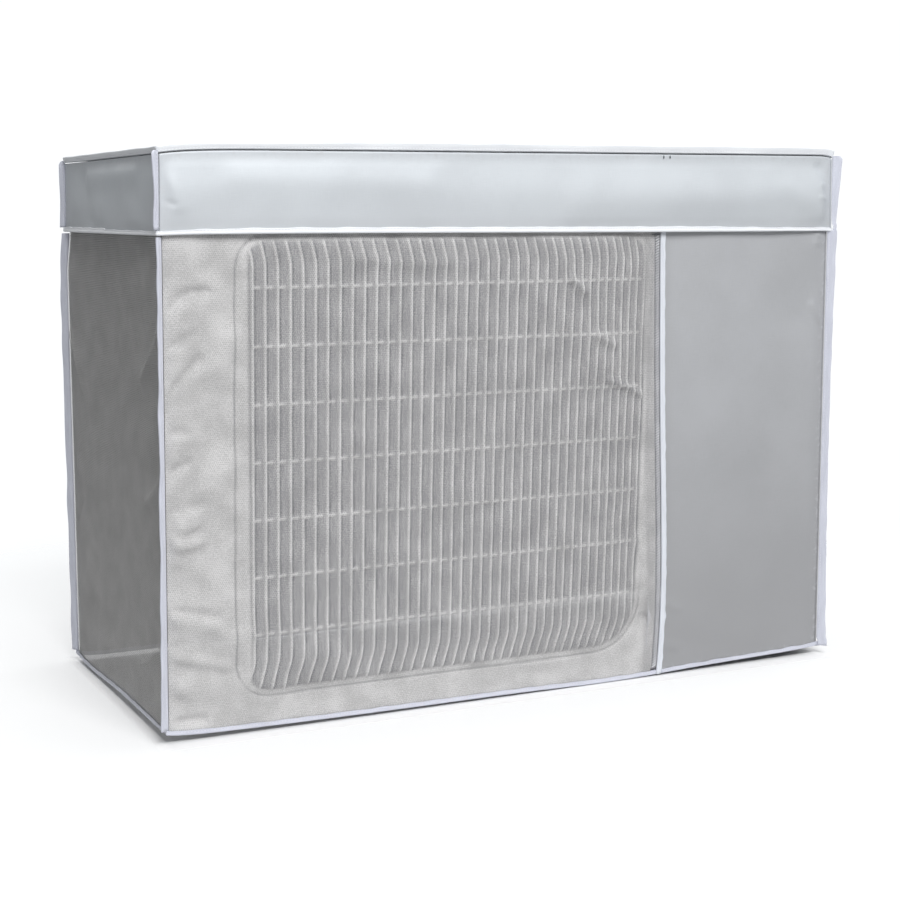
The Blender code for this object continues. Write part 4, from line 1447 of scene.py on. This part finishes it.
@dataclass(frozen=True)
class Band:
    """The short skirt of silver cloth that hangs from the top seam, with its tape and corner seams."""

    front_folds: tuple[Fold, ...] = (
        Fold((-0.330, -0.022), (-0.120, -0.026), 0.016, 0.0014),
        Fold((0.060, -0.055), (0.300, -0.045), 0.018, 0.0012),
        Fold((0.350, -0.030), (0.395, -0.060), 0.014, 0.0014),
        Fold((-0.470, -0.036), (0.470, -0.036), 0.028, 0.0024),
        Fold((0.080, -0.036), (0.470, -0.036), 0.026, 0.0018),
        Fold((-0.411, -0.020), (-0.392, -0.052), 0.007, 0.0010, 0.003),
        Fold((-0.411, -0.046), (-0.399, -0.050), 0.0028, -0.0008),
        Fold((0.397, -0.006), (0.409, -0.034), 0.008, -0.0030, 0.003),
        Fold((0.397, -0.042), (0.410, -0.045), 0.0030, 0.0012),
        Fold((0.399, -0.027), (0.410, -0.029), 0.0028, 0.0009),
    )
    back_folds: tuple[Fold, ...] = (
        Fold((0.280, -0.040), (0.000, -0.030), 0.018, 0.0014),
        Fold((-0.150, -0.050), (-0.330, -0.040), 0.018, 0.0012),
    )
    left_folds: tuple[Fold, ...] = (
        Fold((0.110, -0.016), (-0.080, -0.020), 0.014, 0.0022),
        Fold((-0.020, -0.055), (-0.150, -0.050), 0.018, 0.0012),
        Fold((-0.100, -0.020), (-0.060, -0.075), 0.020, -0.0012),
        Fold((0.060, -0.030), (0.120, -0.070), 0.020, 0.0010),
    )
    right_folds: tuple[Fold, ...] = (
        Fold((-0.110, -0.016), (0.080, -0.020), 0.014, 0.0022),
        Fold((0.020, -0.055), (0.150, -0.050), 0.018, 0.0012),
    )

    def panels(self) -> list[Panel]:
        """The band's four panels."""
        pattern = PATTERN
        between = pattern.width / 2 - pattern.cloth - pattern.gap
        heights = (-(pattern.band_drop - pattern.tape - pattern.gap), -pattern.top_gap)
        deep = pattern.depth / 2
        base = Panel(
            "band_front_cloth", "band_front", Side.FRONT, (-between, between), heights, pattern.band_out,
            self.front_folds, BAND_CLOTH, "silver_cloth", steps=(0.0015, 0.004, 0.0019), fade=0.016,
            ripple=0.00022, ripple_size=0.075, seed=101, on_band=True,
            gathers=(Gathers(Edge.TOP, 3, 0.0002, 0.045), Gathers(Edge.BOTTOM, 4, 0.0002, 0.050)),
        )
        side = replace(base, ends=(-deep, deep))
        return [
            base,
            replace(base, name="band_back_cloth", node="band_back", side=Side.BACK, folds=self.back_folds, seed=102,
                    steps=(0.0025, 0.005, 0.0028)),
            replace(side, name="band_left_cloth", node="band_left", side=Side.LEFT, folds=self.left_folds, seed=103),
            replace(side, name="band_right_cloth", node="band_right", side=Side.RIGHT, folds=self.right_folds, seed=104),
        ]


@dataclass(frozen=True)
class Body:
    """The five panels under the band: net at the front and left, silver cloth elsewhere."""

    net_front_folds: tuple[Fold, ...] = (
        Fold((-0.413, -0.410), (-0.350, -0.325), 0.016, 0.0050),
        Fold((-0.413, -0.300), (-0.345, -0.190), 0.018, 0.0040),
        Fold((-0.412, -0.225), (-0.340, -0.110), 0.016, 0.0035),
        Fold((-0.410, -0.480), (-0.330, -0.500), 0.015, 0.0040),
        Fold((-0.400, -0.545), (-0.290, -0.560), 0.014, 0.0035),
        Fold((-0.375, -0.440), (-0.355, -0.250), 0.022, -0.0035),
        Fold((-0.300, -0.500), (-0.220, -0.545), 0.020, 0.0025),
        Fold((0.040, -0.120), (0.090, -0.230), 0.026, 0.0022),
        Fold((0.100, -0.200), (0.155, -0.300), 0.024, 0.0020),
        Fold((0.120, -0.420), (0.160, -0.560), 0.024, -0.0020),
        Fold((-0.403, -0.154), (-0.366, -0.138), 0.0055, -0.0018, 0.006),
        Fold((-0.404, -0.193), (-0.380, -0.181), 0.0060, -0.0014),
        Fold((-0.408, -0.248), (-0.374, -0.208), 0.0060, -0.0022, 0.002),
        Fold((-0.406, -0.284), (-0.388, -0.282), 0.0050, -0.0014, 0.003),
        Fold((-0.411, -0.323), (-0.388, -0.314), 0.0055, -0.0016),
        Fold((-0.400, -0.361), (-0.376, -0.357), 0.0060, -0.0012),
        Fold((-0.415, -0.382), (-0.374, -0.396), 0.0060, 0.0022, -0.010),
        Fold((-0.410, -0.372), (-0.380, -0.386), 0.0060, -0.0018, -0.009),
        Fold((-0.410, -0.422), (-0.393, -0.426), 0.0050, -0.0012),
        Fold((-0.412, -0.465), (-0.358, -0.477), 0.0045, -0.0022, 0.001),
        Fold((-0.412, -0.474), (-0.362, -0.487), 0.0070, 0.0016),
        Fold((-0.415, -0.513), (-0.348, -0.531), 0.0055, 0.0026),
        Fold((-0.416, -0.553), (-0.398, -0.563), 0.0060, -0.0014),
        Fold((-0.342, -0.508), (-0.318, -0.532), 0.0100, 0.0022),
        Fold((0.056, -0.133), (0.073, -0.147), 0.0055, 0.0024),
        Fold((0.090, -0.199), (0.112, -0.208), 0.0060, 0.0022),
        Fold((0.104, -0.249), (0.145, -0.267), 0.0045, 0.0022, 0.002),
        Fold((0.108, -0.092), (0.134, -0.125), 0.0090, 0.0016),
        Fold((0.145, -0.440), (0.162, -0.500), 0.0070, 0.0020),
        Fold((0.151, -0.533), (0.161, -0.535), 0.0040, -0.0018),
        Fold((-0.200, -0.105), (-0.100, -0.112), 0.0080, 0.0012, -0.003),
        Fold((-0.060, -0.560), (0.060, -0.572), 0.0080, 0.0014, -0.004),
        Fold((-0.409, -0.5865), (-0.374, -0.5855), 0.0045, -0.0030, 0.001),
    )
    net_left_folds: tuple[Fold, ...] = (
        Fold((0.150, -0.150), (0.150, -0.520), 0.040, 0.0025),
        Fold((-0.020, -0.130), (0.000, -0.560), 0.050, -0.0025),
        Fold((-0.120, -0.480), (-0.170, -0.570), 0.022, 0.0030),
        Fold((0.120, -0.540), (-0.080, -0.565), 0.022, 0.0025),
        Fold((0.184, -0.180), (0.120, -0.230), 0.0070, 0.0016, 0.004),
        Fold((0.186, -0.330), (0.130, -0.360), 0.0070, 0.0016, 0.004),
        Fold((-0.186, -0.200), (-0.140, -0.260), 0.0070, 0.0016),
        Fold((0.186, -0.500), (0.110, -0.540), 0.0075, 0.0020, 0.005),
        Fold((-0.184, -0.430), (-0.150, -0.400), 0.0065, -0.0015),
    )
    front_right_folds: tuple[Fold, ...] = (
        Fold((0.250, -0.120), (0.245, -0.520), 0.040, 0.0015),
        Fold((0.330, -0.200), (0.345, -0.560), 0.045, -0.0018),
        Fold((0.215, -0.545), (0.310, -0.575), 0.020, 0.0025),
        Fold((0.393, -0.170), (0.408, -0.191), 0.0040, 0.0011, -0.001),
        Fold((0.399, -0.087), (0.409, -0.090), 0.0030, 0.0012),
        Fold((0.396, -0.096), (0.408, -0.098), 0.0030, 0.0010),
        Fold((0.186, -0.520), (0.198, -0.528), 0.0050, 0.0012),
        Fold((0.186, -0.570), (0.200, -0.576), 0.0050, 0.0012),
    )
    right_folds: tuple[Fold, ...] = (
        Fold((-0.080, -0.140), (-0.060, -0.520), 0.045, 0.0025),
        Fold((0.070, -0.200), (0.090, -0.560), 0.040, -0.0020),
        Fold((-0.130, -0.560), (0.110, -0.540), 0.024, 0.0025),
        Fold((-0.184, -0.200), (-0.120, -0.250), 0.0080, 0.0014, 0.004),
        Fold((0.184, -0.380), (0.110, -0.420), 0.0080, 0.0014, -0.004),
    )
    back_folds: tuple[Fold, ...] = (
        Fold((0.240, -0.140), (0.270, -0.540), 0.055, 0.0030),
        Fold((0.060, -0.120), (0.040, -0.560), 0.060, -0.0025),
        Fold((-0.150, -0.160), (-0.200, -0.540), 0.055, 0.0030),
        Fold((0.300, -0.555), (-0.280, -0.565), 0.026, 0.0020),
        Fold((0.405, -0.250), (0.330, -0.310), 0.009, 0.0016, 0.004),
        Fold((-0.405, -0.420), (-0.320, -0.470), 0.009, 0.0016, -0.004),
    )

    def panels(self) -> list[Panel]:
        """The body's five panels."""
        pattern = PATTERN
        between = pattern.width / 2 + pattern.body_face - pattern.cloth - pattern.gap
        deep = pattern.depth / 2 + pattern.body_face
        heights = (-(pattern.height - pattern.tape - pattern.gap), -pattern.top_gap)
        net_right = pattern.teeth_left - pattern.gap
        silver_left = pattern.zip_tape_left + pattern.tape + pattern.gap
        net = Panel(
            "net_front_cloth", "net_front", Side.FRONT, (-between, net_right), heights, pattern.body_out,
            self.net_front_folds, NET, "net", press=GuardPress(), steps=(0.00130, 0.0025, 0.0034),
            fade=0.012, ripple=0.00028, ripple_size=0.034, thickness=0.0, seed=201, crease_gain=1.7,
            gathers=(Gathers(Edge.LEFT, 11, 0.0005, 0.030), Gathers(Edge.BOTTOM, 13, 0.0003, 0.040)),
        )
        silver = Panel(
            "front_right_cloth", "panel_front_right", Side.FRONT, (silver_left, between), heights, pattern.body_out,
            self.front_right_folds, BODY_CLOTH, "silver_cloth", steps=(0.0017, 0.0038, 0.0034), fade=0.014,
            ripple=0.00034, ripple_size=0.085, seed=203, crease_gain=1.6,
            gathers=(Gathers(Edge.LEFT, 14, 0.0002, 0.040), Gathers(Edge.RIGHT, 15, 0.0003, 0.045), Gathers(Edge.BOTTOM, 16, 0.0002, 0.050)),
        )
        return [
            net,
            replace(net, name="net_left_cloth", node="net_left", side=Side.LEFT, ends=(-deep, deep), press=None,
                    finish=SIDE_NET, folds=self.net_left_folds, steps=(0.0020, 0.0028, 0.0033), seed=202),
            silver,
            replace(silver, name="right_cloth", node="panel_right", side=Side.RIGHT, ends=(-deep, deep),
                    folds=self.right_folds, steps=(0.0025, 0.0048, 0.0042), seed=204),
            replace(silver, name="back_cloth", node="panel_back", side=Side.BACK, ends=(-between, between),
                    folds=self.back_folds, steps=(0.0030, 0.0060, 0.0050), seed=205),
        ]


@dataclass(frozen=True)
class Zip:
    """The zip down the net's right edge: a woven strip, a row of slanted teeth and the tape beside them."""

    pitch: float = 0.00305
    slant: float = float(np.radians(27))
    tooth_length: float = 0.0070
    tooth_thick: float = 0.0017
    tooth_depth: float = 0.0021
    rings: int = 6
    sides: int = 8
    tacks: tuple[float, float] = (0.1765, 0.1850)
    puffs: tuple[tuple[float, float], ...] = ((-0.528, 0.0013), (-0.577, 0.0012), (-0.330, 0.0004))
    tape: FoldedTape = FoldedTape(depth=0.0062, stitch=0.0044)

    def build(self) -> list[bpy.types.Object]:
        """Makes the zip's pieces.

        Returns:
            The strip, the teeth, the tape, the end stitch, the stitch row and the tacks.
        """
        tape, line = self.edge_tape()
        rows = STITCHING.build("zip_stitching", [line])
        thick = replace(STITCHING, pitch=0.0046, length=0.0040, width=0.0016, height=0.0007)
        tacks = thick.build("top_tacks", [self.tack(along) for along in self.tacks], DARK_THREAD)
        return [self.strip(), self.teeth(), tape, self.end_stitch(), rows, tacks]

    def tack(self, along: float) -> tuple[Array, Array]:
        """The line of one short upright tack on the band, under the top seam."""
        up = np.linspace(0.0010, -0.0060, 4)
        path = PATTERN.hang_band(PATTERN.on_side(Side.FRONT, np.full(4, along), 0.0007, up))
        return path, np.tile([0.0, -1.0, 0.0], (4, 1))

    def strip(self) -> bpy.types.Object:
        """The woven strip behind the teeth, a ribbon with a low wave in it."""
        pattern = PATTERN
        along = np.linspace(pattern.teeth_right - pattern.zip_cloth_width, pattern.teeth_right, 9)
        up = np.linspace(pattern.tape_fold + pattern.gap - pattern.height, -pattern.gap, 180)
        along, up = np.meshgrid(along, up)
        out = pattern.body_out - pattern.tape_out + 0.0001 * wander(up, 0.03, 61)
        points = pattern.hang(pattern.on_side(Side.FRONT, along, out, up))
        piece = grid_piece("zip_woven_strip", points, np.stack([along, up], -1), STRIP)
        thicken(piece, pattern.tape)
        return fit(piece, "zip_strip", "zip_strip")

    def teeth(self) -> bpy.types.Object:
        """The row of teeth: each is a slanted bar whose section is a rounded box, narrower at its ends.

        Along the bar t goes from -1 to 1 and the section shrinks as (1 - t^6)^(1/2). Round the section
        it is a power curve, |cos|^0.7 and |sin|^0.7.
        """
        pattern = PATTERN
        t = np.linspace(-0.96, 0.96, self.rings)
        turn = np.arange(self.sides) * TURN / self.sides
        shrink = np.sqrt(1 - t**6)
        box = np.stack([np.sign(np.cos(turn)) * abs(np.cos(turn)) ** 0.7, np.sign(np.sin(turn)) * abs(np.sin(turn)) ** 0.7], -1)
        length = t[:, None] * self.tooth_length / 2 * np.ones(self.sides)
        thick = shrink[:, None] * box[:, 0] * self.tooth_thick / 2
        depth = shrink[:, None] * box[:, 1] * self.tooth_depth / 2
        middles = np.arange(-pattern.zip_top - 0.002, -(pattern.height - pattern.tape_fold - 0.002), -self.pitch)
        middle_s = (pattern.teeth_left + pattern.teeth_right) / 2
        sway = 0.00015 * wander(middles, 0.02, 62)
        along = middle_s + length * np.cos(self.slant) - thick * np.sin(self.slant) + sway[:, None, None]
        up = middles[:, None, None] + length * np.sin(self.slant) + thick * np.cos(self.slant)
        out = pattern.body_out + 0.0005 + np.broadcast_to(depth, up.shape)
        points = pattern.hang(pattern.on_side(Side.FRONT, along, out, up))
        count = len(middles)
        cell = grid_faces(self.rings, self.sides, False, True)
        faces = cell[..., 0] * self.sides + cell[..., 1] % self.sides
        flat = points.reshape(count, -1, 3)
        inward = signed_volume(flat[0], faces) < 0
        first, last = np.arange(self.sides), (self.rings - 1) * self.sides + np.arange(self.sides)
        unit = faces.tolist() + [last.tolist(), first[::-1].tolist()]
        if inward:
            unit = [face[::-1] for face in unit]
        lists = [[number + shift for number in face] for shift in range(0, flat[..., 0].size, flat.shape[1]) for face in unit]
        piece = mesh_piece("zip_tooth_row", flat, lists, TEETH)
        return fit(piece, "zip_teeth", "zip_teeth")

    def edge_tape(self) -> tuple[bpy.types.Object, tuple[Array, Array]]:
        """The tape folded over the silver panel's edge, puffed out where its stitches missed the rim.

        Returns:
            The piece and the line of its stitches.
        """
        pattern = PATTERN
        section, across = self.tape.section()
        up = np.linspace(-pattern.zip_top, -pattern.height, 200)
        puff = sum(height * bell(up - level, 0.0045) for level, height in self.puffs)
        puff = puff + 0.00020 * wander(up, 0.022, 63)
        reach = np.clip((section[:, 1] - pattern.tape_out) / (self.tape.depth - pattern.tape_out), 0.0, 1.0)
        outer = smooth((section[:, 0] + 0.0004) / 0.0008)
        along = pattern.zip_tape_left + section[:, 1] + puff[:, None] * reach * outer
        out = pattern.body_out + section[:, 0] + 0.35 * np.maximum(puff, 0)[:, None] * reach * outer
        points = pattern.hang(pattern.on_side(Side.FRONT, along, out, up[:, None]))
        cut = np.stack(np.meshgrid(up, np.append(across, across[0]), indexing="ij"), -1)
        piece = grid_piece("zip_edge_tape", points, cut, ZIP_TAPE, tube=True)
        face = pattern.body_out + pattern.tape_out - self.tape.pinch + self.tape.thick / 2
        path = pattern.hang(pattern.on_side(Side.FRONT, pattern.zip_tape_left + self.tape.stitch, face, up))
        return fit(piece, "tape", "tape_zip"), (path, np.tile([0.0, -1.0, 0.0], (len(up), 1)))

    def end_stitch(self) -> bpy.types.Object:
        """A tight zigzag of dark thread across the top of the zip, just under the band."""
        pattern = PATTERN
        legs = np.arange(15)
        along = pattern.teeth_left - 0.0040 + 0.0105 * legs / legs[-1]
        up = -pattern.band_drop - 0.0034 - 0.0011 * (legs % 2)
        turn = np.arange(6) * TURN / 6
        radius = 0.00042
        along_ring = along[:, None] + 0 * turn
        points = pattern.on_side(
            Side.FRONT, along_ring, pattern.body_out + 0.0018 + radius * np.cos(turn), up[:, None] + radius * np.sin(turn)
        )
        cut = np.stack(np.meshgrid(along, np.arange(7) * 0.0004, indexing="ij"), -1)
        piece = grid_piece("zip_end_stitch", pattern.hang(points), cut, DARK_THREAD, tube=True)
        return fit(piece, "tape")


@dataclass(frozen=True)
class Light:
    """A soft square studio light that looks at the middle of the cover."""

    name: str
    place: tuple[float, float, float]
    size: float
    power: float


@dataclass(frozen=True)
class Studio:
    """The pale floor, the soft lights and the camera at the photograph's angle."""

    floor_drop: float = 0.6070
    floor_reach: float = 30.0
    focal: float = 68.33
    eye: tuple[float, float, float] = (-0.9016, -1.8628, -0.0570)
    yaw: float = 25.826
    pitch: float = 7.974
    roll: float = -0.142
    world: float = 0.29
    lights: tuple[Light, ...] = (
        Light("key", (-0.30, -2.4, 1.9), 1.4, 86.0),
        Light("over", (0.0, 0.3, 3.0), 2.6, 50.0),
        Light("right", (3.2, 0.5, 1.2), 2.2, 25.0),
        Light("back", (-0.2, 3.2, 1.6), 2.4, 36.0),
    )

    def build(self) -> None:
        """Lays the floor, hangs the lights and sets the camera."""
        self.floor()
        middle = Vector((0.0, 0.0, -PATTERN.height / 2))
        for light in self.lights:
            lamp = bpy.data.lights.new(light.name, "AREA")
            lamp.size = light.size
            lamp.energy = light.power
            holder = bpy.data.objects.new(light.name, lamp)
            holder.location = light.place
            holder.rotation_euler = (middle - holder.location).to_track_quat("-Z", "Y").to_euler()
            bpy.context.scene.collection.objects.link(holder)
        self.surround()
        self.camera()
        bpy.context.scene.view_settings.view_transform = "Standard"

    def floor(self) -> None:
        """A flat round floor just under the hem."""
        turn = np.linspace(0, TURN, 65)[:-1]
        radius = np.array([0.001, 1.0, 4.0, self.floor_reach])[:, None]
        x, y = radius * np.cos(turn), radius * np.sin(turn)
        points = np.stack([x, y, np.full_like(x, -self.floor_drop)], -1)
        faces = grid_faces(4, 64, False, True)
        lists = (faces[..., 0] * 64 + faces[..., 1] % 64)[:, ::-1].tolist()
        mesh_piece("studio_floor", points, lists, FLOOR)

    def surround(self) -> None:
        """A plain white surround, dimmer as a light than it looks behind the cover."""
        world = bpy.data.worlds.new("studio")
        world.use_nodes = True
        nodes, links = world.node_tree.nodes, world.node_tree.links
        background = nodes["Background"]
        background.inputs["Color"].default_value = (0.97, 0.985, 1.0, 1.0)
        seen = nodes.new("ShaderNodeLightPath")
        strength = nodes.new("ShaderNodeMapRange")
        strength.inputs["To Min"].default_value = self.world
        strength.inputs["To Max"].default_value = 1.05
        links.new(seen.outputs["Is Camera Ray"], strength.inputs["Value"])
        links.new(strength.outputs[0], background.inputs["Strength"])
        bpy.context.scene.world = world

    def camera(self) -> None:
        """Sets the camera from its place, focal length and three turns."""
        yaw, pitch, roll = np.radians([self.yaw, self.pitch, self.roll])
        ahead = Vector((np.sin(yaw) * np.cos(pitch), np.cos(yaw) * np.cos(pitch), -np.sin(pitch)))
        right = Vector((np.cos(yaw), -np.sin(yaw), 0.0))
        up = right.cross(ahead)
        level = right * np.cos(roll) + up * np.sin(roll)
        upright = up * np.cos(roll) - right * np.sin(roll)
        lens = bpy.data.cameras.new("photo_camera")
        lens.lens = self.focal
        lens.sensor_width = 36.0
        holder = bpy.data.objects.new("photo_camera", lens)
        axes = Matrix((level, upright, -ahead)).transposed()
        holder.matrix_world = Matrix.Translation(Vector(self.eye)) @ axes.to_4x4()
        bpy.context.scene.collection.objects.link(holder)
        bpy.context.scene.camera = holder


def main() -> None:
    """Builds the cover from the top down, then its zip and the studio."""
    logging.basicConfig(level=logging.INFO, format="%(name)s: %(message)s")
    pattern = PATTERN
    silver_edge = pattern.zip_x + pattern.zip_tape_width / 2 + pattern.gap

    top_seam, top_lines = TopSeam().build()
    top = TopPanel()
    top.build()

    band_tape, band_line = EdgeBinding(
        "band_tape", "tape_band", pattern.band_drop, pattern.band_out, True, 51, narrow_ends=0.30,
        tape=FoldedTape(depth=0.0060, stitch=0.0042),
    ).build()
    hem_tape, hem_line = EdgeBinding(
        "hem_tape", "tape_hem", pattern.height, pattern.body_out, False, 53,
        open_between=(pattern.teeth_right - pattern.gap, silver_edge), tape=FoldedTape(depth=0.0052, stitch=0.0036),
    ).build()
    corner_lines: list[tuple[Array, Array]] = []
    for corner in CORNERS:
        for on_band in (True, False):
            corner_lines += CornerSeam(corner, on_band).build()[1]

    for panel in Band().panels() + Body().panels():
        panel.build()

    Zip().build()
    STITCHING.build("top_stitching", top_lines)
    STITCHING.build("edge_stitching", [band_line, hem_line])
    STITCHING.build("corner_stitching", corner_lines)
    Studio().build()


if __name__ == "__main__":
    main()
